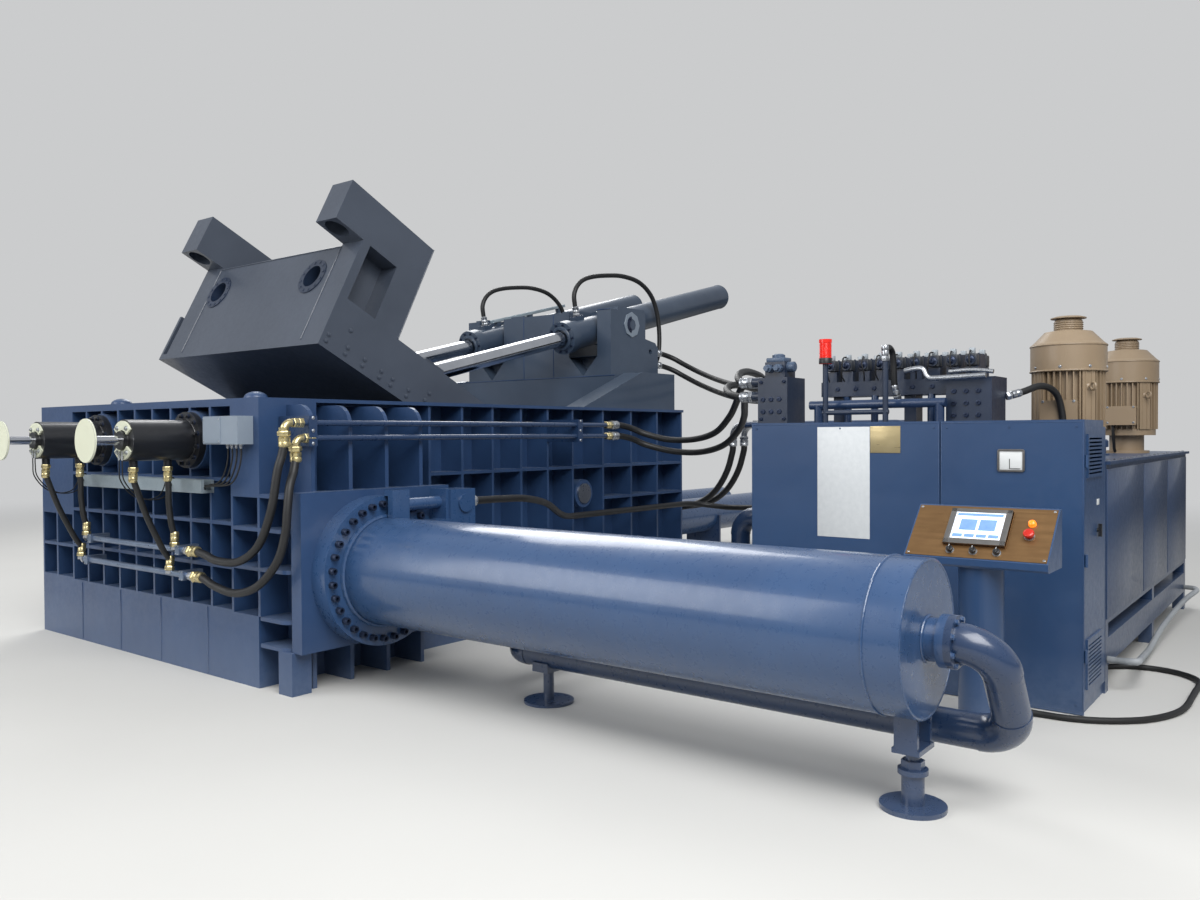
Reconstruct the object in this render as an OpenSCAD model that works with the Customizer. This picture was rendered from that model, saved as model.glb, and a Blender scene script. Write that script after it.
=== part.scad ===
/* [Press box] */
// Length of the press box, lock end to ram end
box_l = 4900; // [4860:10:5100]
// Width of the press box
box_w = 3150; // [3120:10:3300]
// Height of the press box with its deck
box_h = 1845; // [1835:5:1870]
// Height of the base under the ribbed walls
base_h = 458; // [450:1:464]
// Thickness of the deck plates
deck_t = 25; // [20:1:30]
// Depth of the lock end wall
end_wall_d = 430; // [400:5:434]
// Thickness of the end wall's inner plate
end_plate_t = 130; // [100:5:150]
// Depth of the near side wall
side_wall_d = 340; // [330:1:344]
// Width of the press chamber
chamber_w = 2240; // [2236:1:2260]
// Thickness of a rib
rib_t = 24; // [16:1:30]
// Spacing of the end wall's upright ribs
end_rib_pitch = 254; // [248:1:258]
// Spacing of the end wall's level bars
end_bar_pitch = 286; // [270:2:296]
// Spacing of the near wall's front ribs
side_rib_pitch = 337; // [325:1:345]
// Thickness of the chamber's floor liner
liner_t = 12; // [8:1:14]

/* [Lid] */
// Angle at which the lid stands open
lid_open = 27; // [24:1:30]
// Distance of the lid hinge from the lock end
hinge_x = 3280; // [3270:5:3300]
// Height of the lid hinge
hinge_z = 1070; // [1068:1:1075]
// Radius of the hinge pins
hinge_pin_r = 65; // [50:1:75]
// Height of the closed lid's underside
lid_under_z = 954; // [952:1:960]
// Thickness of the lid's plates
lid_plate_t = 50; // [30:2:60]
// Height of the front box of the closed lid
lid_front_z = 1820; // [1790:5:1830]
// Width of a lid arm
lid_arm_w = 240; // [220:5:250]
// Height of the closed lid's hooks
hook_top_z = 2185; // [2150:5:2220]
// Thickness of a hook, front to rear
hook_reach = 270; // [250:5:280]

/* [Lid cylinders] */
// Distance of the trunnions from the lock end
trunnion_x = 4600; // [4580:5:4620]
// Height of the trunnions
trunnion_z = 2728; // [2715:1:2740]
// Outer radius of a lid cylinder
lid_cyl_r = 145; // [140:1:150]
// Length of a lid cylinder's barrel
lid_cyl_l = 3120; // [3000:10:3200]
// Radius of a lid cylinder's rod
lid_rod_r = 75; // [60:1:85]
// Radius of a trunnion pin
trunnion_r = 60; // [50:1:70]

/* [Lock cylinders] */
// Distance of the near lock from the near side
lock_near_y = 800; // [790:1:810]
// Distance between the two locks
lock_pitch = 1300; // [1290:1:1310]
// Height of the locks
lock_z = 1576; // [1570:1:1582]
// Outer radius of a lock cylinder
lock_cyl_r = 135; // [128:1:140]
// Length of a lock cylinder
lock_cyl_l = 460; // [440:5:480]
// Radius of a lock pin
lock_pin_r = 90; // [80:1:94]
// Radius of the pale discs on the tail rods
lock_disc_r = 138; // [120:1:140]

/* [Side cylinder] */
// Distance of the side cylinder from the lock end
side_cyl_x = 572; // [568:2:576]
// Height of the side cylinder
side_cyl_z = 732; // [726:1:736]
// Outer radius of the side cylinder
side_cyl_r = 341; // [335:1:345]
// How far the side cylinder stands out of the near side
side_cyl_l = 4025; // [3900:10:4100]
// Radius of its flange
side_flange_r = 480; // [465:1:484]
// Number of bolts in the flange
side_bolts = 32; // [24:2:36]
// Radius of its ram
side_rod_r = 128; // [110:1:128]
// Outer radius of the oil pipe at its end
oil_pipe_r = 80; // [70:1:84]

/* [Main cylinders] */
// Outer radius of a main cylinder
main_cyl_r = 210; // [200:1:215]
// Length of a main cylinder
main_cyl_l = 4100; // [4000:10:4200]
// Height of the main cylinders
main_cyl_z = 595; // [590:1:600]
// Radius of a main ram
main_rod_r = 105; // [95:1:110]

/* [Power unit] */
// Distance of the cabinet's front from the lock end
unit_x = 2450; // [2430:5:2470]
// Distance of the cabinet's near corner from the press
unit_gap = 2150; // [2130:5:2170]
// Width of the power unit
unit_w = 2100; // [2080:5:2120]
// Height of the cabinet
cabinet_h = 1670; // [1640:5:1700]
// Depth of the cabinet
cabinet_d = 600; // [580:5:620]
// Length of the oil tank
tank_l = 3610; // [3550:10:3650]
// Height of the tank's top
tank_top = 1420; // [1400:5:1440]
// Height of the tank's underside
tank_low = 420; // [400:5:430]
// Radius of a pump motor over its fins
motor_r = 230; // [220:1:235]
// Number of fins on a pump motor
motor_fins = 36; // [24:2:40]

/* [Console] */
// Distance of the console's column from the lock end
desk_x = 1840; // [1830:5:1850]
// Distance of the console's column from the near side
desk_y = 3870; // [3860:5:3880]
// Radius of the console's foot plate
desk_foot_r = 225; // [200:5:230]
// Radius of the console's column
desk_post_r = 115; // [100:5:120]
// Width of the console's panel
desk_w = 735; // [700:5:760]
// Slope length of the console's panel
desk_l = 370; // [360:2:380]

/* [Hidden] */
$fn = 48;
eps = 1;
// running gap between a moving piece and its guide
run = 0.4;
blue = "#35527f";
dark_blue = "#2b4470";
steel = "#c9cdd2";
black = "#1d1f22";
lid_grey = "#4b5468";
beige = "#a8937a";
pale = "#d9dccb";
copper = "#a9774a";

chamber_y0 = side_wall_d;
chamber_y1 = side_wall_d + chamber_w;
wall_top = box_h - deck_t;
floor_z = base_h + liner_t;
lock_y = [lock_near_y, lock_near_y + lock_pitch];
side_rib_y = 20;
inner_plate_t = 90;

// Frames of the model: everything is laid out from the press box's near lock corner on the floor
module corner() { translate([-box_l / 2, -box_w / 2, 0]) children(); }
module at_lid() {
    translate([hinge_x, 0, hinge_z]) rotate([0, lid_open, 0]) translate([-hinge_x, 0, -hinge_z]) children();
}
module block(x0, x1, y0, y1, z0, z1) { translate([x0, y0, z0]) cube([x1 - x0, y1 - y0, z1 - z0]); }
module bar_x(y, z, x0, x1, r) { translate([x0, y, z]) rotate([0, 90, 0]) cylinder(r = r, h = x1 - x0); }
module bar_y(x, z, y0, y1, r) { translate([x, y0, z]) rotate([-90, 0, 0]) cylinder(r = r, h = y1 - y0); }
module bar_z(x, y, z0, z1, r) { translate([x, y, z0]) cylinder(r = r, h = z1 - z0); }
// an upright plate with its outline in X and Z, from y0 to y1
module plate_xz(y0, y1) { translate([0, y1, 0]) rotate([90, 0, 0]) linear_extrude(y1 - y0) children(); }
// an upright plate with its outline in Y and Z, from x0 to x1
module plate_yz(x0, x1) { translate([x0, 0, 0]) rotate([90, 0, 90]) linear_extrude(x1 - x0) children(); }
module bolt_ring_x(x, y, z, pitch_r, count, r, h) {
    for (i = [0 : count - 1]) translate([x, y, z]) rotate([360 * (i + 0.5) / count, 0, 0])
        translate([0, 0, pitch_r]) rotate([0, 90, 0]) cylinder(r = r, h = h);
}
module bolt_ring_y(x, y, z, pitch_r, count, r, h) {
    for (i = [0 : count - 1]) translate([x, y, z]) rotate([0, 360 * (i + 0.5) / count, 0])
        translate([0, 0, pitch_r]) rotate([-90, 0, 0]) cylinder(r = r, h = h);
}

// Tubes swept along points: a smooth curve through the points, rings carried without twist
function unit(v) = v / norm(v);
function between(a, b, c, d, t) =
    0.5 * ((2 * b) + (c - a) * t + (2 * a - 5 * b + 4 * c - d) * t * t + (3 * b - a - 3 * c + d) * t * t * t);
function curve(p, n) = concat([for (i = [0 : len(p) - 2]) for (k = [0 : n - 1])
    between(p[max(i - 1, 0)], p[i], p[i + 1], p[min(i + 2, len(p) - 1)], k / n)], [p[len(p) - 1]]);
function heading(p, i) = unit(p[min(i + 1, len(p) - 1)] - p[max(i - 1, 0)]);
function square_to(n, t) = unit(n - (n * t) * t);
function headings(points, p) = concat([unit(points[1] - points[0])], [for (i = [1 : len(p) - 2]) heading(p, i)],
    [unit(points[len(points) - 1] - points[len(points) - 2])]);
function carried(h, i, n) = i == len(h) ? [] :
    let (m = square_to(n, h[i])) concat([m], carried(h, i + 1, m));
tube_sides = 8;
module tube(points, r, steps = 2) {
    p = curve(points, steps);
    h = headings(points, p);
    start = abs(h[0][2]) < 0.8 ? [0, 0, 1] : [1, 0, 0.1];
    up = carried(h, 0, square_to(start, h[0]));
    rings = [for (i = [0 : len(p) - 1]) for (k = [0 : tube_sides - 1])
        let (a = 360 * k / tube_sides, side = cross(h[i], up[i]))
        p[i] + r * (cos(a) * up[i] + sin(a) * side)];
    last = (len(p) - 1) * tube_sides;
    faces = concat(
        [for (i = [0 : len(p) - 2]) for (k = [0 : tube_sides - 1])
            let (a = i * tube_sides + k, b = i * tube_sides + (k + 1) % tube_sides)
            [a, a + tube_sides, b + tube_sides, b]],
        [[for (k = [0 : tube_sides - 1]) k]],
        [[for (k = [tube_sides - 1 : -1 : 0]) last + k]]);
    polyhedron(points = rings, faces = faces, convexity = 6);
}

// Lid geometry in its closed place
lid_front_x = end_wall_d + 15;
lid_y0 = chamber_y0 + 10;
lid_y1 = chamber_y1 - 10;
arm_z = 1360;
arm_front_x = 800;
arm_rear_x = 1055;
hinge_eye_r = hinge_z - lid_under_z;
hook_x = lid_front_x - hook_reach;
hook_z = box_h + 1;
hook_hole_x = (hook_x + lid_front_x) / 2 - 27;
dome_r = 80;
near_arm_y = lid_y0;
far_arm_y = lid_y1 - lid_arm_w - 90;
arm_mid = lid_arm_w / 2;

// Lid cylinders: the rod eye's pivot on the closed lid, then where it stands at rest
eye_x = 1716;
eye_z = 1429;
eye_dx = eye_x - hinge_x;
eye_dz = eye_z - hinge_z;
eye_at = [hinge_x + eye_dx * cos(lid_open) + eye_dz * sin(lid_open),
    hinge_z - eye_dx * sin(lid_open) + eye_dz * cos(lid_open)];
rod_dx = trunnion_x - eye_at[0];
rod_dz = trunnion_z - eye_at[1];
rod_tilt = atan2(rod_dz, rod_dx);
rod_reach = norm([rod_dx, rod_dz]);
head_s = 710;
piston_s = 340;
lug_y = 105;
lug_t = 50;
eye_half = 75;
lid_bore_r = 110;
trunnion_collar_r = 180;
cheek_gap = 5;
cheek_w = 175;
module at_lid_cylinder(y) { translate([trunnion_x, y, trunnion_z]) rotate([0, -rod_tilt, 0]) children(); }

// Side cylinder and its mounting
side_plate_y0 = -405;
side_plate_t = 100;
side_flange_t = 130;
side_bore_r = 280;
spigot_r = side_cyl_r - 10;
platen_x0 = end_wall_d + 15;
platen_x1 = 1150;
platen_z0 = floor_z + run;
platen_z1 = 942;
side_platen_t = 290;
big_rib_x = [200, 490, 790, 1095];
big_rib_y = -260;
big_rib_t = 30;
mount_z0 = 265;
mount_z1 = 1250;
mount_x0 = 20;
mount_x1 = 1235;
shelf_z = [265, base_h - rib_t, 745, 995, 1210];

module base_frame() color(blue) difference() {
    block(0, box_l, side_rib_y, box_w, 0, base_h);
    for (i = [0 : 6]) for (j = [0 : 3]) translate([plate_edge + i * cell_l, side_rib_y + plate_edge + j * cell_w, -eps])
        cube([cell_l - plate_edge, cell_w - plate_edge, base_h - 40 + eps]);
}
plate_edge = 30;
cell_l = (box_l - plate_edge) / 7;
cell_w = (box_w - side_rib_y - plate_edge) / 4;

end_rib_y0 = 313;
end_cells = 9;
module end_wall_cells() {
    for (i = [0 : end_cells - 1]) for (j = [0 : 3]) {
        y = end_rib_y0 + i * end_rib_pitch + rib_t / 2;
        z = base_h + j * end_bar_pitch + rib_t / 2;
        top = j == 3 ? wall_top - rib_t : z + end_bar_pitch - rib_t;
        block(-eps, end_wall_d - end_plate_t, y, y + end_rib_pitch - rib_t, z, top);
    }
}
far_post_y = end_rib_y0 + end_cells * end_rib_pitch;
module end_wall() color(blue) difference() {
    block(0, end_wall_d, 0, box_w, base_h, wall_top);
    difference() {
        end_wall_cells();
        for (y = lock_y) bar_x(y, lock_z, -2 * eps, end_wall_d, 200);
    }
    for (i = [0 : 2]) block(-eps, 180, rib_t, end_rib_y0 - rib_t / 2, shelf_z[i + 1] + rib_t, shelf_z[i + 2]);
    for (z = [base_h + rib_t, base_h + end_bar_pitch])
        for (y = [far_post_y + rib_t / 2, far_post_y + 300])
            block(-eps, 260, y, min(y + 260, box_w - rib_t), z, z + end_bar_pitch - 2 * rib_t);
    for (y = lock_y) bar_x(y, lock_z, -eps, end_wall_d + eps, lock_pin_r + run);
}

grid_x0 = 1433;
grid_ribs = 5;
grid_step = grid_x0 + grid_ribs * side_rib_pitch;
wide_rib_pitch = (box_l - rib_t - grid_step) / 4;
grid_bar_z = 1295;
low_bar_z = 1000;
module near_wall() color(blue) difference() {
    union() {
        block(end_wall_d, box_l, side_wall_d - inner_plate_t, side_wall_d, base_h, wall_top);
        for (i = [0 : grid_ribs]) block(grid_x0 + i * side_rib_pitch, grid_x0 + i * side_rib_pitch + rib_t,
            side_rib_y, side_wall_d, base_h, wall_top);
        for (i = [1 : 4]) block(grid_step + i * wide_rib_pitch, grid_step + i * wide_rib_pitch + rib_t,
            side_rib_y, side_wall_d, base_h, wall_top);
        block(grid_x0, box_l, side_rib_y, side_wall_d, grid_bar_z, grid_bar_z + rib_t);
        block(grid_step + wide_rib_pitch, box_l, side_rib_y, side_wall_d, low_bar_z, low_bar_z + rib_t);
        bar_y(hinge_x, hinge_z, side_rib_y, side_wall_d, hinge_pin_r + 60);
    }
    block(platen_x0 - 5, platen_x1 + 5, 0, side_wall_d + eps, floor_z, platen_z1 + 8);
    bar_y(hinge_x, hinge_z, 0, side_wall_d + eps, hinge_pin_r + run);
}

gate_y0 = chamber_y1 + 110;
gate_t = 265;
gate_x1 = 1165;
gate_z1 = 958;
gate_rod_z = 708;
gate_rod_y = gate_y0 + gate_t / 2;
far_skin_y = chamber_y1 + 380;
far_cells = 12;
far_cell_l = (box_l - end_wall_d - rib_t) / far_cells;
module far_wall() color(blue) difference() {
    block(end_wall_d, box_l, chamber_y1, box_w, base_h, wall_top);
    block(end_wall_d - eps, 3600, gate_y0 - 5, far_skin_y, base_h - eps, gate_z1 + 3);
    block(platen_x0 - 5, platen_x1 + 5, chamber_y1 - eps, box_w + eps, floor_z, platen_z1 + 3);
    for (i = [0 : far_cells - 1]) for (z = [gate_z1 + 3 + rib_t, grid_bar_z + rib_t])
        block(end_wall_d + rib_t + i * far_cell_l, end_wall_d + (i + 1) * far_cell_l, chamber_y1 + inner_plate_t,
            box_w + eps, z, z < grid_bar_z ? grid_bar_z : wall_top - rib_t);
    for (i = [2 : far_cells - 1]) block(end_wall_d + rib_t + i * far_cell_l, end_wall_d + (i + 1) * far_cell_l,
        far_skin_y + 40, box_w + eps, base_h + rib_t, gate_z1);
    bar_y(hinge_x, hinge_z, chamber_y1 - eps, chamber_y1 + inner_plate_t + eps, hinge_pin_r + run);
}

main_y = [950, 2000];
rear_wall_d = 300;
rear_wall_x = box_l - rear_wall_d;
module rear_wall() color(blue) difference() {
    block(rear_wall_x, box_l, chamber_y0, chamber_y1, base_h, wall_top);
    difference() {
        for (y = [chamber_y0 + rib_t : 312 : chamber_y1 - 300]) for (z = [base_h + rib_t, 1150])
            block(rear_wall_x + 120, box_l + eps, y, y + 288, z, z < 1000 ? 1126 : wall_top - rib_t);
        for (y = main_y) block(rear_wall_x, box_l + 2 * eps, y - 260, y + 260, base_h, main_cyl_z + 260);
    }
    for (y = main_y) bar_x(y, main_cyl_z, rear_wall_x - eps, box_l + eps, main_rod_r + run);
}

deck_rear_x = hinge_x + 15;
module top_deck() color(blue) difference() {
    block(0, box_l, 0, box_w, wall_top, box_h);
    block(end_wall_d, deck_rear_x, chamber_y0, chamber_y1, wall_top - eps, box_h + eps);
}

module floor_liner() color("#5b6068")
    block(end_wall_d, rear_wall_x, chamber_y0, chamber_y1, base_h, floor_z);

// outline of a big rib in Y and Z: foot, seat of the mounting plate, rounded top
rib_round = 130;
module big_rib_outline(inner) {
    seat = side_plate_y0 + side_plate_t;
    polygon(concat([[inner, 0], [big_rib_y, 0], [big_rib_y, mount_z0], [seat, mount_z0], [seat, mount_z1],
        [big_rib_y, mount_z1]],
        [for (a = [180 : -15 : 90]) [big_rib_y + rib_round + rib_round * cos(a),
            wall_top - 20 - rib_round + rib_round * sin(a)]],
        [[inner, wall_top - 20]]));
}
module shelf_outline(x1) {
    r = 90;
    seat = side_plate_y0 + side_plate_t;
    polygon(concat([[x1, 0], [0, 0]], [for (a = [180 : 15 : 270]) [r + r * cos(a), seat + r + r * sin(a)]],
        [[x1, seat]]));
}
module cylinder_mount() color(blue) difference() {
    union() {
        for (x = big_rib_x) plate_yz(x, x + big_rib_t)
            big_rib_outline(x < end_wall_d ? (x < 0 ? 0 : -run) : side_wall_d - inner_plate_t);
        for (z = shelf_z) translate([0, 0, z]) linear_extrude(rib_t) shelf_outline(mount_x1);
        block(mount_x0, mount_x1, side_plate_y0, side_plate_y0 + side_plate_t, mount_z0, mount_z1);
        block(0, 140, side_plate_y0 + 75, -190, 0, mount_z0 + eps);
    }
    bar_y(side_cyl_x, side_cyl_z, side_plate_y0 - eps, 31, spigot_r + run);
    block(platen_x0 - 5, platen_x1 + 5, 30, side_wall_d + eps, floor_z, platen_z1 + 8);
    block(end_wall_d - 30, mount_x1 + eps, side_rib_y, side_wall_d, -eps, floor_z + eps);
}

module locating_domes() color(steel) for (y = [near_arm_y + arm_mid, far_arm_y + arm_mid])
    translate([hook_hole_x, y, box_h]) rotate_extrude()
        polygon(concat([[0, 0], [dome_r, 0]], [for (a = [0 : 10 : 90]) [dome_r * cos(a), 12 + 48 * sin(a)]]));

tower_x0 = trunnion_x - 350;
tower_x1 = trunnion_x + 250;
slab_x0 = tower_x0 - 70;
slab_z = 2190;
tower_z = 2865;
tower_y0 = lock_near_y - trunnion_collar_r - cheek_gap - cheek_w;
tower_y1 = lock_near_y + lock_pitch + trunnion_collar_r + cheek_gap + cheek_w;
slot_half = trunnion_collar_r + cheek_gap;
module tower_gap(y) {
    block(tower_x0 - eps, tower_x1 + eps, y - slot_half, y + slot_half, 2400, tower_z + 200);
    plate_yz(tower_x0 - eps, tower_x0 + 160)
        polygon([[y - 185, 2399], [y + 185, 2399], [y, 2200]]);
}
// outer stay of the tower: a folded gusset on the deck beside the slab
module tower_stay(y0, y1) plate_xz(y0, y1)
    polygon([[3386, box_h], [4330, 2214], [box_l, 2214], [box_l, box_h]]);
module tower_ear(y0, y1) difference() {
    plate_xz(y0, y1) polygon([[tower_x0 + 140, 2214], [tower_x1 + 230, 2214], [tower_x1 + 230, 2520],
        [tower_x1 + 180, 2570], [tower_x1, 2600], [tower_x0 + 140, 2600]]);
    bar_y(tower_x1 + 90, 2470, y0 - eps, y1 + eps, 28);
}
module cylinder_tower() color(blue) difference() {
    union() {
        block(slab_x0, box_l, chamber_y0, chamber_y1, box_h, slab_z);
        difference() {
            block(tower_x0, tower_x1, tower_y0, tower_y1, slab_z, tower_z);
            block(tower_x0 + 30, tower_x1 - 30, lock_near_y + slot_half + cheek_w,
                lock_near_y + lock_pitch - slot_half - cheek_w, slab_z + eps, tower_z - 30);
        }
        tower_stay(110, chamber_y0);
        tower_stay(chamber_y1, chamber_y1 + 230);
        tower_ear(tower_y0, tower_y0 + 60);
        tower_ear(tower_y1 - 60, tower_y1);
        for (y = lock_y) for (s = [-1, 1]) translate([trunnion_x, y + s * (slot_half + cheek_w / 2), trunnion_z])
            cube([460, cheek_w + (s * (y - 1450) > 0 ? 0 : 30), 340], center = true);
    }
    for (y = lock_y) {
        tower_gap(y);
        bar_y(trunnion_x, trunnion_z, y - slot_half - cheek_w - 40, y + slot_half + cheek_w + 40, trunnion_r + run);
    }
}

module hinge_pins() color(steel) {
    bar_y(hinge_x, hinge_z, side_rib_y, near_arm_y + lid_arm_w + 10, hinge_pin_r);
    bar_y(hinge_x, hinge_z, side_rib_y - 15, side_rib_y, hinge_pin_r + 25);
    bar_y(hinge_x, hinge_z, far_arm_y - 10, chamber_y1 + inner_plate_t, hinge_pin_r);
}

module side_cylinder() color(blue) difference() {
    union() {
        bar_y(side_cyl_x, side_cyl_z, -side_cyl_l, side_plate_y0, side_cyl_r);
        bar_y(side_cyl_x, side_cyl_z, side_plate_y0 - side_flange_t, side_plate_y0, side_flange_r);
        bar_y(side_cyl_x, side_cyl_z, side_plate_y0, -run, spigot_r);
        bar_y(side_cyl_x, side_cyl_z, -side_cyl_l - 60, -side_cyl_l, 92);
        bar_y(side_cyl_x, side_cyl_z, -side_cyl_l - 95, -side_cyl_l - 60, 112);
    }
    bar_y(side_cyl_x, side_cyl_z, 75 - side_cyl_l, -300, side_bore_r);
    bar_y(side_cyl_x, side_cyl_z, -301, eps, side_rod_r + run);
    bar_y(side_cyl_x, side_cyl_z, -side_cyl_l - 96, 76 - side_cyl_l, oil_pipe_r - 14);
}

side_bolt_h = 38;
module side_flange_bolts() color("#2f3b52") bolt_ring_y(side_cyl_x, side_plate_y0 - side_flange_t - side_bolt_h,
    side_cyl_z, side_flange_r - 48, side_bolts, 21, side_bolt_h);

// Oil pipe: out of the end cap, down through two bends, back under the barrel and over to the tank
bend_r = 150;
pipe_low_x = side_cyl_x + 308;
pipe_low_z = 285;
pipe_y0 = -side_cyl_l - 95;
pipe_lean = atan2(pipe_low_x - side_cyl_x, side_cyl_z - pipe_low_z);
pipe_drop = norm([pipe_low_x - side_cyl_x, side_cyl_z - pipe_low_z]);
pipe_turn_y = -1500;
pipe_riser_x = unit_x + cabinet_d + 500;
pipe_tank_z = 900;
unit_y1 = -unit_gap;
unit_y0 = -unit_gap - unit_w;
cab_x1 = unit_x + cabinet_d;
tank_x1 = cab_x1 + tank_l;
// an elbow is a little thicker than the pipe, which reaches a short way into it
elbow_r = oil_pipe_r + 3;
reach = 15;
riser_x = pipe_riser_x + bend_r;
module bend(start) rotate([0, 0, start]) rotate_extrude(angle = 90) translate([bend_r, 0]) circle(elbow_r);
module oil_pipe() color(dark_blue) {
    bar_y(side_cyl_x, side_cyl_z, pipe_y0 - 30, pipe_y0, 112);
    translate([side_cyl_x, pipe_y0 - 30, side_cyl_z]) rotate([0, -pipe_lean, 0]) {
        translate([0, 0, -bend_r]) rotate([0, 90, 0]) bend(180);
        bar_z(0, -bend_r, bend_r - pipe_drop - reach, reach - bend_r, oil_pipe_r);
        translate([0, 0, bend_r - pipe_drop]) rotate([0, 90, 0]) bend(270);
    }
    bar_y(pipe_low_x, pipe_low_z, pipe_y0 - 30 - reach, pipe_turn_y + reach, oil_pipe_r);
    translate([pipe_low_x + bend_r, pipe_turn_y, pipe_low_z]) bend(90);
    bar_x(pipe_turn_y + bend_r, pipe_low_z, pipe_low_x + bend_r - reach, pipe_riser_x + reach, oil_pipe_r);
    translate([pipe_riser_x, pipe_turn_y + bend_r, pipe_low_z + bend_r]) rotate([90, 0, 0]) bend(270);
    bar_z(riser_x, pipe_turn_y + bend_r, pipe_low_z + bend_r - reach, pipe_tank_z - bend_r + reach, oil_pipe_r);
    translate([riser_x, pipe_turn_y, pipe_tank_z - bend_r]) rotate([0, 90, 0]) bend(90);
    bar_y(riser_x, pipe_tank_z, unit_y1 + 20, pipe_turn_y + reach, oil_pipe_r);
    bar_y(riser_x, pipe_tank_z, unit_y1, unit_y1 + 20, oil_pipe_r + 45);
}

module port_block() color(blue) difference() {
    union() {
        block(side_cyl_x - 20, side_cyl_x + 120, -620, -540, 1040, 1250);
        bar_x(-580, 1150, side_cyl_x + 120, side_cyl_x + 400, 42);
        block(side_cyl_x + 400, side_cyl_x + 425, -660, -500, 1000, 1240);
        block(side_cyl_x + 425, side_cyl_x + 653, -680, -500, 1010, 1235);
        bar_y(side_cyl_x + 556, 1140, -695, -680, 62);
        block(side_cyl_x - 20, side_cyl_x + 653, -680, -540, 960, 1041);
    }
    bar_y(side_cyl_x, side_cyl_z, -1000, 0, side_cyl_r + run);
    bar_y(side_cyl_x, side_cyl_z, side_plate_y0 - side_flange_t - side_bolt_h - run, 0, side_flange_r + run);
}

module jack_stand() color(blue) difference() {
    union() {
        bar_z(side_cyl_x, -side_cyl_l + 65, 0, 20, 140);
        bar_z(side_cyl_x, -side_cyl_l + 65, 20, 150, 48);
        bar_z(side_cyl_x, -side_cyl_l + 65, 150, 172, 64);
        translate([side_cyl_x, -side_cyl_l + 65, 172]) cylinder(r = 50, h = 36, $fn = 6);
        bar_z(side_cyl_x, -side_cyl_l + 65, 208, 250, 30);
        block(side_cyl_x - 90, side_cyl_x + 90, -side_cyl_l + 5, -side_cyl_l + 125, 250, 272);
        for (x = [side_cyl_x - 90, side_cyl_x + 66])
            block(x, x + 24, -side_cyl_l + 15, -side_cyl_l + 115, 272, 450);
    }
    bar_y(side_cyl_x, side_cyl_z, -side_cyl_l - eps, 0, side_cyl_r);
}

module pipe_stand() color(blue) difference() {
    union() {
        bar_z(pipe_low_x, -1640, 0, 15, 150);
        bar_z(pipe_low_x, -1640, 15, pipe_low_z - 60, 32);
        block(pipe_low_x - 80, pipe_low_x + 80, -1700, -1580, pipe_low_z - 95, pipe_low_z - 40);
    }
    bar_y(pipe_low_x, pipe_low_z, -1800, -1500, oil_pipe_r);
}

module main_cylinder(y) color(blue) difference() {
    union() {
        bar_x(y, main_cyl_z, box_l, box_l + main_cyl_l, main_cyl_r);
        bar_x(y, main_cyl_z, box_l, box_l + 80, main_cyl_r + 70);
        bolt_ring_x(box_l + 80, y, main_cyl_z, main_cyl_r + 40, 16, 17, 26);
    }
    bar_x(y, main_cyl_z, box_l + 120, box_l + main_cyl_l - 70, main_cyl_r - 40);
    bar_x(y, main_cyl_z, box_l - eps, box_l + 121, main_rod_r + run);
}

module main_cylinders() for (y = main_y) main_cylinder(y);

module main_cylinder_feet() color(blue) difference() {
    for (y = main_y) for (x = [box_l + 1900, box_l + main_cyl_l - 500]) {
        block(x, x + 30, y - 240, y + 240, 20, main_cyl_z);
        block(x - 80, x + 110, y - 260, y + 260, 0, 20);
    }
    for (y = main_y) bar_x(y, main_cyl_z, box_l, box_l + main_cyl_l, main_cyl_r);
}

gate_cyl_x = 1960;
gate_cyl_l = 900;
module gate_cylinder() color(dark_blue) difference() {
    union() {
        bar_x(gate_rod_y, gate_rod_z, gate_cyl_x, gate_cyl_x + gate_cyl_l, 70);
        for (x = [gate_cyl_x + 60, gate_cyl_x + gate_cyl_l - 120])
            block(x, x + 60, gate_rod_y - 90, gate_rod_y + 90, base_h, gate_rod_z);
    }
    bar_x(gate_rod_y, gate_rod_z, gate_cyl_x + 40, gate_cyl_x + gate_cyl_l - 30, 50);
    bar_x(gate_rod_y, gate_rod_z, gate_cyl_x - eps, gate_cyl_x + 41, 28 + run);
}

module lock_cylinder(y) color(black) difference() {
    union() {
        bar_x(y, lock_z, -lock_cyl_l, 0, lock_cyl_r);
        bar_x(y, lock_z, -45, 0, 190);
        bar_x(y, lock_z, -lock_cyl_l - 30, -lock_cyl_l, 60);
        bolt_ring_x(-70, y, lock_z, 165, 12, 12, 25);
        for (x = [-400, -170]) bar_z(y = y, x = x, z0 = lock_z - lock_cyl_r - 40, z1 = lock_z - 110, r = 26);
    }
    bar_x(y, lock_z, 30 - lock_cyl_l, eps, lock_pin_r + 10);
    bar_x(y, lock_z, -lock_cyl_l - 31, 31 - lock_cyl_l, 30 + run);
}

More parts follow.
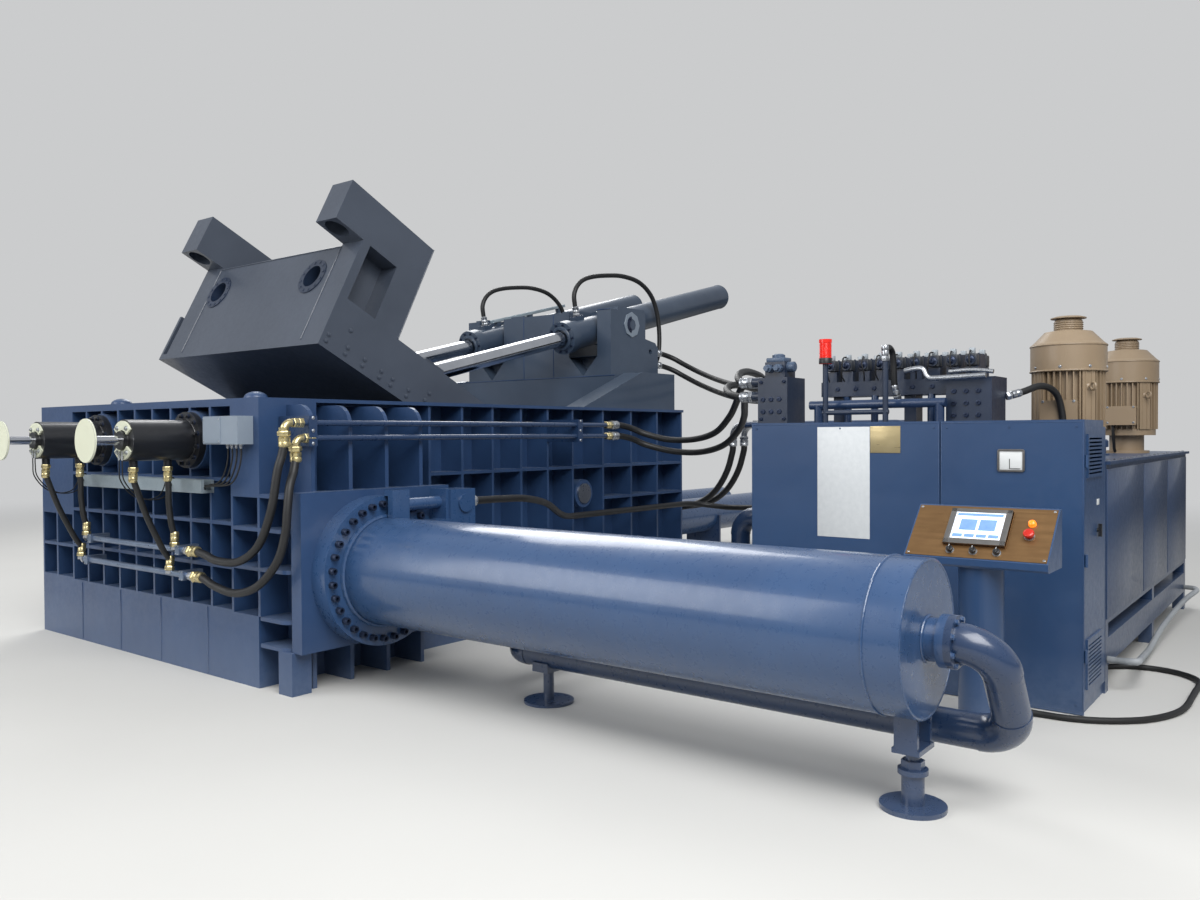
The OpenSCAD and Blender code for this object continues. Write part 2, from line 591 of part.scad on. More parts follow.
// Steel pipes: two along the near side, two across the lock end
pipe_y = -300;
pipe_z = [1680, 1585];
side_pipe_x0 = [30, 110];
side_pipe_x1 = 3260;
side_elbow_r = 50;
module elbow(x, z) {
    translate([x, pipe_y, z - side_elbow_r]) rotate([90, 0, 0]) rotate([0, 0, 90]) rotate_extrude(angle = 90)
        translate([side_elbow_r, 0]) circle(r = 24);
}
module side_pipes() color(blue) {
    for (i = [0, 1]) {
        elbow(side_pipe_x0[i], pipe_z[i]);
        bar_x(pipe_y, pipe_z[i], side_pipe_x0[i] - 5, side_pipe_x1, 19);
        bar_x(pipe_y, pipe_z[i], side_pipe_x0[i] + 15, side_pipe_x0[i] + 75, 27);
        bar_x(pipe_y, pipe_z[i], side_pipe_x1 - 60, side_pipe_x1, 27);
    }
    for (x = [big_rib_x[0] - 60, grid_x0 + 4 * side_rib_pitch]) difference() {
        block(x, x + 60, pipe_y - 30, x < 1000 ? -10 : side_rib_y, pipe_z[1] - 50, pipe_z[0] + 45);
        for (z = pipe_z) bar_x(pipe_y, z, x - eps, x + 61, 19);
    }
}

manifold_x = -110;
manifold_z = [840, 675];
manifold_y = [[640, 2120], [590, 2180]];
module lock_pipes() color(steel) for (i = [0, 1]) {
    bar_y(manifold_x, manifold_z[i], manifold_y[i][0], manifold_y[i][1], 21);
    for (y = [manifold_y[i][0] + 110, manifold_y[i][1] - 110])
        block(manifold_x - 32, 0, y - 25, y + 25, manifold_z[i] - 32, manifold_z[i] + 32);
}

module junction_box() color("#7d8794") {
    block(-110, -run, 60, 460, 1548, 1728);
    block(-118, -110, 250, 450, 1556, 1720);
}

module cable_tray() color(pale) difference() {
    block(-90, 0, 525, 2240, 1225, 1312);
    block(-70, -20, 524, 2241, 1245, 1313);
}

// Hoses held at both ends; each row of points is one hose's route
hose_r = 26;
loop_routes = [
    [[side_pipe_x0[0] - side_elbow_r, pipe_y, pipe_z[0] - side_elbow_r - run], [side_pipe_x0[0] - side_elbow_r, pipe_y, 1560],
        [-35, -299, 1480], [-65, -295, 1380], [-92, -268, 1150], [-105, -150, 930], [-110, 60, 815], [-110, 300, 800],
        [manifold_x, 440, 825], [manifold_x, 540, manifold_z[0]], [manifold_x, manifold_y[0][0] - run, manifold_z[0]]],
    [[side_pipe_x0[1] - side_elbow_r, pipe_y, pipe_z[1] - side_elbow_r - run], [side_pipe_x0[1] - side_elbow_r, pipe_y, 1465],
        [35, -315, 1380], [-18, -350, 1290], [-46, -366, 1150], [-56, -355, 1000], [-80, -300, 830], [-104, -130, 675],
        [-110, 100, 612], [-110, 330, 632], [manifold_x, 460, 668], [manifold_x, 525, manifold_z[1]],
        [manifold_x, manifold_y[1][0] - run, manifold_z[1]]]];
module loop_hoses() color(black) for (p = loop_routes) tube(p, hose_r);

lock_hose_r = 20;
lock_port_z = lock_z - lock_cyl_r - 40;
// out of the port, over to the manifold and down into its top; side leans the hose towards the near or far side
function lock_route(x, y, i, side) = let (x1 = manifold_x - 20, dx = x1 - x, z = manifold_z[i] + 21 + run)
    [[x, y, lock_port_z - run], [x, y, lock_port_z - 76], [x + 0.10 * dx, y + side * 5, lock_port_z - 156],
    [x + 0.42 * dx - 12, y + side * 30, (1400 + z) / 2 + 20], [x1 - 0.16 * dx - 14, y + side * 58, z + 160],
    [x1, y + side * 70, z + 72], [x1, y + side * 70, z]];
lock_routes = [lock_route(-170, lock_y[0], 0, 0), lock_route(-400, lock_y[0], 1, 1),
    lock_route(-170, lock_y[1] - 20, 0, 0), lock_route(-400, lock_y[1], 1, 1)];
module lock_hoses() color(black) for (p = lock_routes) tube(p, lock_hose_r);

lid_hose_r = 24;
bulkhead_x = tower_x1 + 230;
lid_port_s = -420;
lid_port_h = 35;
function over_barrel(y, r) = [trunnion_x + lid_port_s * cos(rod_tilt) - r * sin(rod_tilt), y,
    trunnion_z + lid_port_s * sin(rod_tilt) + r * cos(rod_tilt)];
function lid_route(y) = [over_barrel(y, lid_cyl_r + lid_port_h + run), over_barrel(y, lid_cyl_r + lid_port_h + 60),
    over_barrel(y, lid_cyl_r + lid_port_h + 130), [4110, y, 3015], [4150, y - 3, 3105], [4240, y - 10, 3180],
    [4370, y - 25, 3228], [4560, y - 55, 3262], [4800, y - 100, 3280], [5020, y - 160, 3235], [5180, y - 202, 3110],
    [5265, y - 222, 2930], [5295, y - 230, 2740], [5285, y - 238, 2560], [5245, y - 246, 2440], [5185, y - 250, 2362],
    [bulkhead_x + 50, y - 250, 2340], [bulkhead_x + run, y - 250, 2340]];
module lid_hose(y) color(black) tube(lid_route(y), lid_hose_r);

supply_r = 27;
port_stub = 60;
port_x = [unit_x + 250, unit_x + 130];
port_z = [cabinet_h + 290, cabinet_h + 190];
supply_end = unit_y1 + port_stub + run;
supply_routes = [
    [[side_pipe_x1 + run, pipe_y, pipe_z[0]], [side_pipe_x1 + 70, pipe_y, pipe_z[0]], [3420, -304, 1677],
        [3530, -335, 1652], [3630, -420, 1600], [3700, -620, 1550], [3680, -900, 1552], [3570, -1180, 1610],
        [3370, -1430, 1730], [3150, -1620, 1830], [2950, -1765, 1903], [2815, -1868, 1942], [2732, -1955, 1958],
        [port_x[0], -2035, port_z[0]], [port_x[0], supply_end, port_z[0]]],
    [[side_pipe_x1 + run, pipe_y, pipe_z[1]], [side_pipe_x1 + 70, pipe_y, pipe_z[1]], [3420, -304, 1582],
        [3540, -335, 1557], [3650, -420, 1500], [3740, -640, 1445], [3730, -930, 1440], [3630, -1220, 1500],
        [3430, -1480, 1620], [3200, -1665, 1725], [2980, -1795, 1802], [2825, -1885, 1843], [2735, -1960, 1858],
        [port_x[0], -2035, port_z[1]], [port_x[0], supply_end, port_z[1]]],
    [[bulkhead_x + run, 480, 2470], [bulkhead_x + 80, 480, 2470], [5255, 467, 2458], [5335, 405, 2420],
        [5372, 290, 2352], [5335, 70, 2255], [5170, -270, 2150], [4840, -730, 2060], [4280, -1250, 2030],
        [3600, -1610, 2060], [3120, -1760, 2075], [2830, -1850, 2050], [2675, -1915, 2008], [2600, -1980, 1970],
        [port_x[1], -2040, port_z[0]], [port_x[1], supply_end, port_z[0]]],
    [[bulkhead_x + run, 480, 2340], [bulkhead_x + 80, 480, 2340], [5255, 467, 2328], [5338, 405, 2290],
        [5378, 290, 2222], [5345, 60, 2120], [5190, -300, 2010], [4870, -770, 1925], [4340, -1260, 1900],
        [3700, -1560, 1940], [3200, -1660, 1975], [2920, -1715, 1965], [2745, -1780, 1932], [2635, -1870, 1888],
        [2588, -1965, 1864], [port_x[1], -2035, port_z[1]], [port_x[1], supply_end, port_z[1]]]];
conduit_route = [[cab_x1 + 60, unit_y0 - run, 200], [cab_x1 + 60, unit_y0 - 50, 200], [3127, -4350, 197],
    [3180, -4385, 189], [3270, -4392, 172], [3480, -4370, 138], [3850, -4335, 90], [4300, -4310, 62],
    [4840, -4310, 120], [5500, -4312, 148], [6100, -4318, 162], [6360, -4342, 178], [6480, -4358, 190],
    [6548, -4342, 198], [tank_x1 - 90, unit_y0 - 50, 200], [tank_x1 - 90, unit_y0 - run, 200]];
module supply_hoses() color(black) {
    tube(conduit_route, 20);
    for (p = supply_routes) tube(p, supply_r);
    tube(side_port_route, supply_r);
}
port_pipe_x1 = 4560;
side_port_x = side_cyl_x + 653;
side_port_route = [[side_port_x + run, -580, 1140], [side_port_x + 85, -580, 1140], [1420, -579, 1139],
    [1600, -572, 1136], [1880, -550, 1122], [2250, -430, 1060], [2600, -270, 950], [2820, -180, 906],
    [3050, -160, 900], [3400, -160, 900], [4000, -160, 900], [4500, -160, 900], [4720, -168, 897], [4870, -215, 885],
    [4950, -340, 868], [4960, -560, 860], [4820, -1050, 900], [4350, -1580, 1040], [3750, -1830, 1230],
    [3300, -1890, 1370], [3080, -1905, 1440], [2960, -1940, 1482], [2905, -2020, 1498], [2900, -2085, 1500],
    [2900, unit_y1 + run, 1500]];

module lock_sleeve_hole(y) bar_x(y, lock_z, lid_front_x - 50, lid_front_x + 400, 100);
module lid_arm(y0, outer) difference() {
    plate_xz(y0, y0 + lid_arm_w) difference() {
        polygon([[lid_front_x, lid_under_z], [lid_front_x, hook_z], [hook_x, hook_z], [hook_x, hook_top_z],
            [arm_rear_x, hook_top_z], [arm_rear_x, arm_z], [hinge_x - 260, arm_z],
            [hinge_x + hinge_eye_r * cos(50), hinge_z + hinge_eye_r * sin(50)], [hinge_x, hinge_z],
            [hinge_x, lid_under_z]]);
    }
    // recess between the front box and the upright of the arm
    block(lid_front_x + 75, arm_front_x, outer ? y0 - eps : y0 + 60, outer ? y0 + lid_arm_w - 60 : y0 + lid_arm_w + eps,
        arm_z + 20, hook_z);
    bar_z(hook_hole_x, y0 + arm_mid, hook_z - eps, hook_z + 130, dome_r + 12);
    bar_y(hinge_x, hinge_z, y0 - eps, y0 + lid_arm_w + eps, hinge_pin_r + run);
}
module hinge_eye(y0, y1) difference() {
    bar_y(hinge_x, hinge_z, y0, y1, hinge_eye_r);
    bar_y(hinge_x, hinge_z, y0 - eps, y1 + eps, hinge_pin_r + run);
}
module lid_shell() color(lid_grey) at_lid() {
    difference() {
        union() {
            lid_arm(near_arm_y, true);
            lid_arm(far_arm_y, false);
            hinge_eye(near_arm_y, near_arm_y + lid_arm_w);
            hinge_eye(far_arm_y, far_arm_y + lid_arm_w);
            block(lid_front_x, hinge_x - 180, lid_y0, lid_y1, lid_under_z, lid_under_z + lid_plate_t);
            block(lid_front_x, lid_front_x + 50, lid_y0, far_arm_y + lid_arm_w, lid_under_z, lid_front_z);
            block(lid_front_x, arm_rear_x, near_arm_y + lid_arm_w, far_arm_y, lid_front_z - 40, lid_front_z);
            block(arm_rear_x - 40, arm_rear_x, near_arm_y + lid_arm_w, far_arm_y, lid_under_z, lid_front_z);
            block(lid_front_x, hinge_x - 300, lid_y1 - 30, lid_y1, lid_under_z, arm_z + 20);
            for (y = [1150, 1450, 1750]) block(arm_rear_x, hinge_x - 200, y - 20, y + 20, lid_under_z, arm_z);
            for (y = lock_y) for (s = [-1, 1]) difference() {
                plate_xz(y + s * lug_y - lug_t / 2, y + s * lug_y + lug_t / 2) polygon([[eye_x - 330, lid_under_z],
                    [eye_x - 110, eye_z + 110], [eye_x + 110, eye_z + 110], [eye_x + 330, lid_under_z]]);
                bar_y(eye_x, eye_z, y - 200, y + 200, eye_pin_r + run);
            }
        }
        for (y = lock_y) lock_sleeve_hole(y);
    }
}

sleeve_rim_t = 8;
module lid_sleeves() color(steel) at_lid() for (y = lock_y) difference() {
    union() {
        bar_x(y, lock_z, lid_front_x - sleeve_rim_t, lid_front_x, 148);
        bar_x(y, lock_z, lid_front_x, lid_front_x + 395, 100);
        bolt_ring_x(lid_front_x - sleeve_rim_t - 4, y, lock_z, 126, 12, 8, 4);
    }
    bar_x(y, lock_z, lid_front_x - 23, lid_front_x + 396, lock_pin_r + 3);
}

eye_pin_r = 62;
module lid_rod_pins() color(steel) at_lid() for (y = lock_y) for (s = [-1, 1]) {
    bar_y(eye_x, eye_z, y + s * lug_y - lug_t / 2, y + s * lug_y + lug_t / 2, eye_pin_r);
    bar_y(eye_x, eye_z, y + s * (lug_y + lug_t / 2 + 4) - 4, y + s * (lug_y + lug_t / 2 + 4) + 4, 82);
}

module lid_cylinder(y) color(dark_blue) at_lid_cylinder(y) difference() {
    union() {
        bar_x(0, 0, -head_s, lid_cyl_l - head_s, lid_cyl_r);
        bar_x(0, 0, -head_s, -head_s + 110, lid_cyl_r + 20);
        bar_x(0, 0, -95, 95, trunnion_collar_r);
        bar_y(0, 0, -slot_half - cheek_w - 10, slot_half + cheek_w + 10, trunnion_r);
        translate([lid_port_s, 0, lid_cyl_r]) cube([120, 90, 2 * lid_port_h], center = true);
    }
    bar_x(0, 0, -head_s + 120, lid_cyl_l - head_s - 60, lid_bore_r);
    bar_x(0, 0, -head_s - eps, -head_s + 121, lid_rod_r + run);
}

module lid_rod(y) color(steel) at_lid_cylinder(y) difference() {
    union() {
        bar_x(0, 0, -rod_reach + 60, piston_s, lid_rod_r);
        bar_x(0, 0, piston_s - 110, piston_s, lid_bore_r - run);
        bar_y(-rod_reach, 0, -eye_half, eye_half, 115);
    }
    bar_y(-rod_reach, 0, -eye_half - eps, eye_half + eps, 64);
}

lock_stroke = 200;
lock_tail = 690;
module lock_pin(y) {
    color(steel) {
        bar_x(y, lock_z, -lock_cyl_l + 130, end_wall_d - 5, lock_pin_r);
        bar_x(y, lock_z, -lock_cyl_l + 60, -lock_cyl_l + 130, lock_pin_r + 10 - run);
        bar_x(y, lock_z, -lock_tail, -lock_cyl_l + 60, 30);
    }
    color(pale) bar_x(y, lock_z, -lock_tail - 12, -lock_tail, lock_disc_r);
}

module side_ram() color(steel) {
    block(platen_x0, platen_x1, side_wall_d - side_platen_t, side_wall_d, platen_z0, platen_z1);
    bar_y(side_cyl_x, side_cyl_z, 200 - side_cyl_l, side_wall_d - side_platen_t, side_rod_r);
    bar_y(side_cyl_x, side_cyl_z, 110 - side_cyl_l, 230 - side_cyl_l, side_bore_r - run);
}

main_platen_l = 900;
main_ram_back = 445;
main_platen_x = rear_wall_x - main_ram_back - main_platen_l;
module main_ram() color(steel) {
    block(main_platen_x, main_platen_x + main_platen_l, chamber_y0 + 5, chamber_y1 - 5, platen_z0, platen_z1 - 2);
    for (y = main_y) {
        bar_x(y, main_cyl_z, main_platen_x + main_platen_l, box_l + main_cyl_l - 250, main_rod_r);
        bar_x(y, main_cyl_z, box_l + main_cyl_l - 250, box_l + main_cyl_l - 120, main_cyl_r - 40 - run);
    }
}

module bale_gate() color(blue) {
    block(end_wall_d + 2, gate_x1, gate_y0, gate_y0 + gate_t, base_h + run, gate_z1);
    bar_x(gate_rod_y, gate_rod_z, gate_x1, gate_cyl_x + 60, 28);
    bar_x(gate_rod_y, gate_rod_z, gate_cyl_x + 45, gate_cyl_x + 95, 50 - run);
}

// Power unit
sheet_t = 15;
door_x0 = unit_x + 20;
door_x1 = cab_x1 - 15;
door_z0 = 80;
door_z1 = cabinet_h - 40;
module cabinet() color(blue) difference() {
    union() {
        block(unit_x + sheet_t, cab_x1, unit_y0 + sheet_t, unit_y1, 0, cabinet_h);
        bar_x(gland_y, 100, cab_x1 - sheet_t, cab_x1 + 30, 26);
    }
    block(unit_x + 2 * sheet_t, cab_x1 - sheet_t, unit_y0 - eps, unit_y1 - sheet_t, door_z0, door_z1);
    block(unit_x - eps, unit_x + 3 * sheet_t, unit_y0 + 60, unit_y1 - 60, door_z0, door_z1);
}
panel_split = 1297;
module cabinet_panels() color(blue) {
    block(unit_x, unit_x + sheet_t, unit_y1 - panel_split + 3, unit_y1, 5, cabinet_h);
    block(unit_x, unit_x + sheet_t, unit_y0, unit_y1 - panel_split - 3, 5, cabinet_h);
}
module switchgear() color("#b9bcc0") {
    block(cab_x1 - 2 * sheet_t - 5, cab_x1 - sheet_t, unit_y0 + 150, unit_y1 - 300, 250, 1500);
    for (i = [0 : 5]) for (z = [450, 800, 1150])
        block(cab_x1 - 170, cab_x1 - 2 * sheet_t - 5, unit_y0 + 230 + 260 * i, unit_y0 + 400 + 260 * i, z, z + 190);
}
vent_x = unit_x + 70;
vent_w = 370;
vent_z = [[150, 410], [1350, 1575]];
hinge_r = 9;
module cabinet_door() {
    color(blue) difference() {
        block(door_x0, door_x1, unit_y0, unit_y0 + sheet_t - run, door_z0, door_z1);
        for (v = vent_z) block(vent_x, vent_x + vent_w, unit_y0 - eps, unit_y0 + sheet_t, v[0], v[1]);
        bar_y(unit_x + 350, 1022, unit_y0 - eps, unit_y0 + sheet_t, 12 + run);
    }
    color(steel) for (z = [300, 840, 1400]) {
        bar_z(door_x0 - 6, unit_y0 - hinge_r - run, z, z + 70, hinge_r);
        block(door_x0, door_x0 + 28, unit_y0 - 6, unit_y0 + eps, z, z + 70);
        block(door_x0 - 2, door_x0 + eps, unit_y0 - 6, unit_y0 - run, z, z + 70);
    }
    color(pale) for (v = vent_z) difference() {
        block(vent_x - 12, vent_x + vent_w + 12, unit_y0 - 10, unit_y0, v[0] - 12, v[1] + 12);
        for (z = [v[0] + 8 : 22 : v[1] - 18]) block(vent_x + 10, vent_x + vent_w - 10, unit_y0 - 11, unit_y0 + 1, z, z + 10);
    }
}
module door_latch() color("#3c3f44") {
    bar_y(unit_x + 350, 1022, unit_y0 - 8, unit_y0 + sheet_t + 12, 12);
    block(unit_x + 340, unit_x + 360, unit_y0 - 26, unit_y0 - 8, 985, 1060);
    block(unit_x + 338, unit_x + 362, unit_y0 + sheet_t + 12, unit_y0 + sheet_t + 16, 1010, 1070);
}

rail_z = [160, 330];
rail_w = 90;
module oil_tank() color(dark_blue) {
    block(cab_x1, tank_x1, unit_y0, unit_y1, tank_low, tank_top - 20);
    block(cab_x1, tank_x1 + 25, unit_y0 - 25, unit_y1 + 25, tank_top - 20, tank_top);
    for (x = [cab_x1, cab_x1 + tank_l / 2 - rail_w / 2, tank_x1 - rail_w]) for (y = [unit_y0, unit_y1 - rail_w])
        block(x, x + rail_w, y, y + rail_w, 0, tank_low);
    difference() {
        block(cab_x1, tank_x1, unit_y0, unit_y1, rail_z[0], rail_z[1]);
        block(cab_x1 + rail_w, tank_x1 - rail_w, unit_y0 + rail_w, unit_y1 - rail_w, 0, tank_low);
    }
}

// Cable lying on the floor from the gland in the cabinet's side to the one in the console's column
cable_r = 18;
gland_y = unit_y0 + 160;
gland_x = desk_x + desk_post_r + 30;
cable_route = [[cab_x1 + 30 + run, gland_y, 100], [cab_x1 + 80, gland_y, 100], [3180, gland_y, 100],
    [3253.9, -4090, 89.7], [3322.2, -4090, 59.5], [3390.5, -4090, 29.3], [3464.5, -4090, 19], [3549.5, -4090, 19],
    [3664.3, -4112.8, 19], [3761.6, -4177.9, 19], [3826.6, -4275.2, 19], [3849.5, -4390, 19], [3826.6, -4504.8, 19],
    [3761.6, -4602.1, 19], [3664.3, -4667.2, 19], [3549.5, -4690, 19], [3340, -4690, 19], [3160, -4690, 19],
    [2990, -4690, 19], [2820, -4673, 19], [2665, -4625, 19], [2520, -4545, 19], [2415, -4440, 19], [2340, -4325, 19],
    [2298, -4200, 19], [2290, -4075, 19], [2280, -4011.7, 23.3], [2250.8, -3954.5, 33.4], [2205.5, -3909.2, 45.6],
    [2148.3, -3880, 55.7], [gland_x + 100, -desk_y, 60], [gland_x + 50, -desk_y, 60], [gland_x + run, -desk_y, 60]];
module floor_cable() color(black) tube(cable_route, cable_r);

motor_at = [[3700, -3900], [5700, -3930]];
motor_base = 1590;
cowl_z = 2005;
module motor(at) translate([at[0], at[1], 0]) {
    color(dark_blue) {
        bar_z(0, 0, tank_top, tank_top + 22, 170);
        bar_z(0, 0, tank_top + 22, motor_base - 20, 130);
        bar_z(0, 0, motor_base - 20, motor_base, 215);
    }
    color(beige) {
        bar_z(0, 0, motor_base, motor_base + 30, 215);
        translate([0, 0, motor_base + 30]) linear_extrude(cowl_z - motor_base - 30) union() {
            circle(motor_r - 34);
            for (i = [0 : motor_fins - 1]) rotate([0, 0, 360 * i / motor_fins])
                translate([motor_r - 40, -4]) square([40, 8]);
            for (a = [45 : 90 : 315]) rotate([0, 0, a]) translate([motor_r - 60, -45]) square([56, 90]);
        }
        translate([0, 0, cowl_z]) rotate_extrude()
            polygon([[0, 0], [motor_r + 8, 0], [motor_r + 8, 185], [motor_r - 10, 200], [150, 275], [88, 285],
                [88, 350], [70, 368], [0, 368]]);
        block(-motor_r - 45, -motor_r + 50, -105, 105, 1665, 1800);
        block(-motor_r - 58, -motor_r - 45, -115, 115, 1655, 1810);
    }
}

bank_x = unit_x + 450;
bank_z0 = cabinet_h + 180;
bank_t = 100;
bank_y1 = unit_y1 - 370;
bank_l = 1160;
bank_w = 260;
valve_count = 9;
valve_pitch = 118;
rail_x = unit_x + 60;
rail_y = [unit_y1 - 520, unit_y1 - 930];
rail_top = cabinet_h + 390;
port_block_z = cabinet_h + 315;
module valve(y, z) {
    block(bank_x - 120, bank_x + 120, y - 38, y + 38, z, z + 70);
    bar_x(y, z + 110, bank_x - 150, bank_x + 150, 32);
    block(bank_x - 60, bank_x + 60, y - 34, y + 34, z + 70, z + 150);
}
module valve_bank() color(dark_blue) {
    // risers on the cabinet and the long drilled block they carry
    for (y = [bank_y1 - 100, bank_y1 - 600, bank_y1 - bank_l + 120])
        block(bank_x - 60, bank_x + 60, y - 40, y + 40, cabinet_h, bank_z0);
    block(bank_x - bank_w / 2, bank_x + bank_w / 2, bank_y1 - bank_l, bank_y1, bank_z0, bank_z0 + bank_t);
    for (i = [0 : valve_count - 1]) valve(bank_y1 - 70 - valve_pitch * i, bank_z0 + bank_t);
    // block at the left end with the hoses' four ports
    block(rail_x, unit_x + 330, unit_y1 - 240, unit_y1 - 15, cabinet_h, port_block_z);
    block(unit_x + 100, unit_x + 260, unit_y1 - 200, unit_y1 - 50, port_block_z, port_block_z + 110);
    for (x = port_x) for (z = port_z) bar_y(x, z, unit_y1 - 20, unit_y1 + port_stub, 34);
    block(bank_x - 200, bank_x + 100, bank_y1 - bank_l, bank_y1 - bank_l + 280, cabinet_h, cabinet_h + 270);
    // guard rail of tube
    bar_y(rail_x, cabinet_h + 65, rail_y[1] - 20, rail_y[0] + 20, 16);
    for (y = rail_y) bar_z(rail_x, y, cabinet_h, rail_top, 18);
}
module beacon() {
    color(steel) bar_z(rail_x, rail_y[0], rail_top, rail_top + 40, 42);
    color("#c8281e") bar_z(rail_x, rail_y[0], rail_top + 40, rail_top + 140, 38);
    color("#c8281e") bar_z(rail_x, rail_y[0], rail_top + 140, rail_top + 162, 42);
}

// Console: the panel leans back at 45 degrees over the column
panel_x0 = desk_x - 150;
panel_z0 = 935;
panel_y1 = -desk_y + desk_w / 2;
module on_panel() translate([panel_x0, panel_y1, panel_z0]) rotate([0, -45, 0]) rotate([0, 0, -90]) children();
module console_stand() color(blue) {
    bar_z(desk_x, -desk_y, 0, 16, desk_foot_r);
    bar_z(desk_x, -desk_y, 16, panel_z0 - 45, desk_post_r);
    bar_x(-desk_y, 60, desk_x + desk_post_r - 10, gland_x, 27);
    slope = desk_l * cos(45);
    difference() {
        console_box(slope);
        on_panel() translate([618, 173, -20]) cylinder(r = 16 + run, h = 21);
    }
}
module console_box(slope) {
    plate_xz(panel_y1 - desk_w, panel_y1) polygon([[panel_x0 + 12, panel_z0 - 45], [panel_x0, panel_z0 - 33],
        [panel_x0, panel_z0], [panel_x0 + slope, panel_z0 + slope], [panel_x0 + slope + 30, panel_z0 + slope],
        [panel_x0 + slope + 30, panel_z0 - 45]]);
}
// on_panel(): first axis runs along the panel to its right, second up the slope, third out of it
module operator_screen() {
    color(copper) on_panel() translate([8, 8, 0]) difference() {
        cube([desk_w - 16, desk_l - 16, 3]);
        for (x = [240, 360, 480]) translate([x - 8, 42, -eps]) cylinder(r = 11 + run, h = 6);
        translate([610, 165, -eps]) cylinder(r = 16 + run, h = 6);
    }
    color("#6b6560") on_panel() translate([195, 85, 3]) cube([320, 245, 22]);
    color("#dfe8f2") on_panel() translate([228, 120, 25]) cube([254, 180, 2]);
    color("#ff7a18") on_panel() translate([618, 255, 3]) cylinder(r = 17, h = 16);
}
module knob(x) on_panel() translate([x, 50, 0]) {
    color(steel) translate([0, 0, run]) cylinder(r = 11, h = 12);
    color(black) translate([0, 0, 12]) cylinder(r = 17, h = 14);
    color(black) translate([-5, -15, 26]) cube([10, 30, 8]);
}
module stop_button() on_panel() translate([618, 173, 0]) {
    color(steel) translate([0, 0, -8]) cylinder(r = 16, h = 30);
    color("#c8281e") translate([0, 0, 22]) cylinder(r = 26, h = 16);
}

corner() base_frame();
corner() end_wall();
corner() near_wall();
corner() far_wall();
corner() rear_wall();
corner() top_deck();
corner() floor_liner();
corner() cylinder_mount();
corner() locating_domes();
corner() cylinder_tower();
corner() hinge_pins();
corner() side_cylinder();
corner() side_flange_bolts();
corner() oil_pipe();
corner() port_block();
corner() jack_stand();
corner() pipe_stand();
corner() main_cylinders();
corner() main_cylinder_feet();
corner() gate_cylinder();
corner() lock_cylinder(lock_y[0]);  // lock_cylinder_near
corner() lock_cylinder(lock_y[1]);  // lock_cylinder_far
corner() side_pipes();
corner() lock_pipes();
corner() junction_box();
corner() cable_tray();
corner() loop_hoses();
corner() lock_hoses();
corner() lid_hose(lock_y[0]);  // lid_hose_near
corner() lid_hose(lock_y[1]);  // lid_hose_far
corner() supply_hoses();
corner() lid_shell();
corner() lid_sleeves();
corner() lid_rod_pins();
corner() lid_cylinder(lock_y[0]);  // lid_cylinder_near
corner() lid_cylinder(lock_y[1]);  // lid_cylinder_far
corner() lid_rod(lock_y[0]);  // lid_rod_near
corner() lid_rod(lock_y[1]);  // lid_rod_far
corner() lock_pin(lock_y[0]);  // lock_pin_near
corner() lock_pin(lock_y[1]);  // lock_pin_far
corner() side_ram();
corner() main_ram();
corner() bale_gate();
corner() cabinet();
corner() cabinet_panels();
corner() switchgear();
corner() cabinet_door();
corner() door_latch();
corner() oil_tank();
corner() floor_cable();
corner() motor(motor_at[0]);  // motor_front
corner() motor(motor_at[1]);  // motor_rear
corner() valve_bank();
corner() beacon();
corner() console_stand();
corner() operator_screen();
corner() stop_button();
corner() knob(240);  // selector_left
corner() knob(360);  // selector_middle
corner() knob(480);  // selector_right
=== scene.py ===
from itertools import product
import bpy
import bmesh
import numpy as np
from mathutils import Matrix, Vector


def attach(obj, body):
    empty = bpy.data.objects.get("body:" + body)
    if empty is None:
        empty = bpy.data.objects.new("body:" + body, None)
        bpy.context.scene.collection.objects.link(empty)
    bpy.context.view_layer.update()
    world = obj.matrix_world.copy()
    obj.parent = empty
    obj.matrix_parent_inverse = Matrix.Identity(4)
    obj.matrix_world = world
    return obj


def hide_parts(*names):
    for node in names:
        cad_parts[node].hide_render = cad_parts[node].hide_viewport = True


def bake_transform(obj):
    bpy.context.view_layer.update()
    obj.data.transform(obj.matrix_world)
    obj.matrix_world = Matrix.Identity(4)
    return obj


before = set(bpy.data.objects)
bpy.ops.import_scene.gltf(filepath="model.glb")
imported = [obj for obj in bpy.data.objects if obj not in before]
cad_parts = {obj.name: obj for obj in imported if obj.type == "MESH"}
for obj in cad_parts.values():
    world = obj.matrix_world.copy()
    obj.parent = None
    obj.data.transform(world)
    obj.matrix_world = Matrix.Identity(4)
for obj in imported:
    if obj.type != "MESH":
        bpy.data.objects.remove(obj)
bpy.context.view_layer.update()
print("frame loaded")

# Places are read from the press box's near lock corner on the floor, in metres
cornerShift = np.array([-2.45, -1.575, 0.0])


def place(points):
    # p plus the corner's own place in the frame
    return np.asarray(points, float) + cornerShift


shot = {"at": (-3.466, -5.422, 1.6), "toward": (0.7889, 0.6143, -0.0163), "roll": -0.288, "lens": 28.9}


def makeCamera():
    # looks along "toward", its right side turned by "roll" degrees about that line
    toward = Vector(shot["toward"]).normalized()
    right = toward.cross(Vector((0, 0, 1))).normalized()
    right = Matrix.Rotation(np.radians(-shot["roll"]), 3, toward) @ right
    up = right.cross(toward)
    camera = bpy.data.objects.new("camera", bpy.data.cameras.new("camera"))
    camera.data.lens = shot["lens"]
    camera.data.sensor_width = 36
    camera.data.clip_end = 200
    turn = Matrix((right, up, -toward)).transposed().to_4x4()
    camera.matrix_world = Matrix.Translation(place(shot["at"])) @ turn
    bpy.context.scene.collection.objects.link(camera)
    bpy.context.scene.camera = camera


makeCamera()
print("camera")

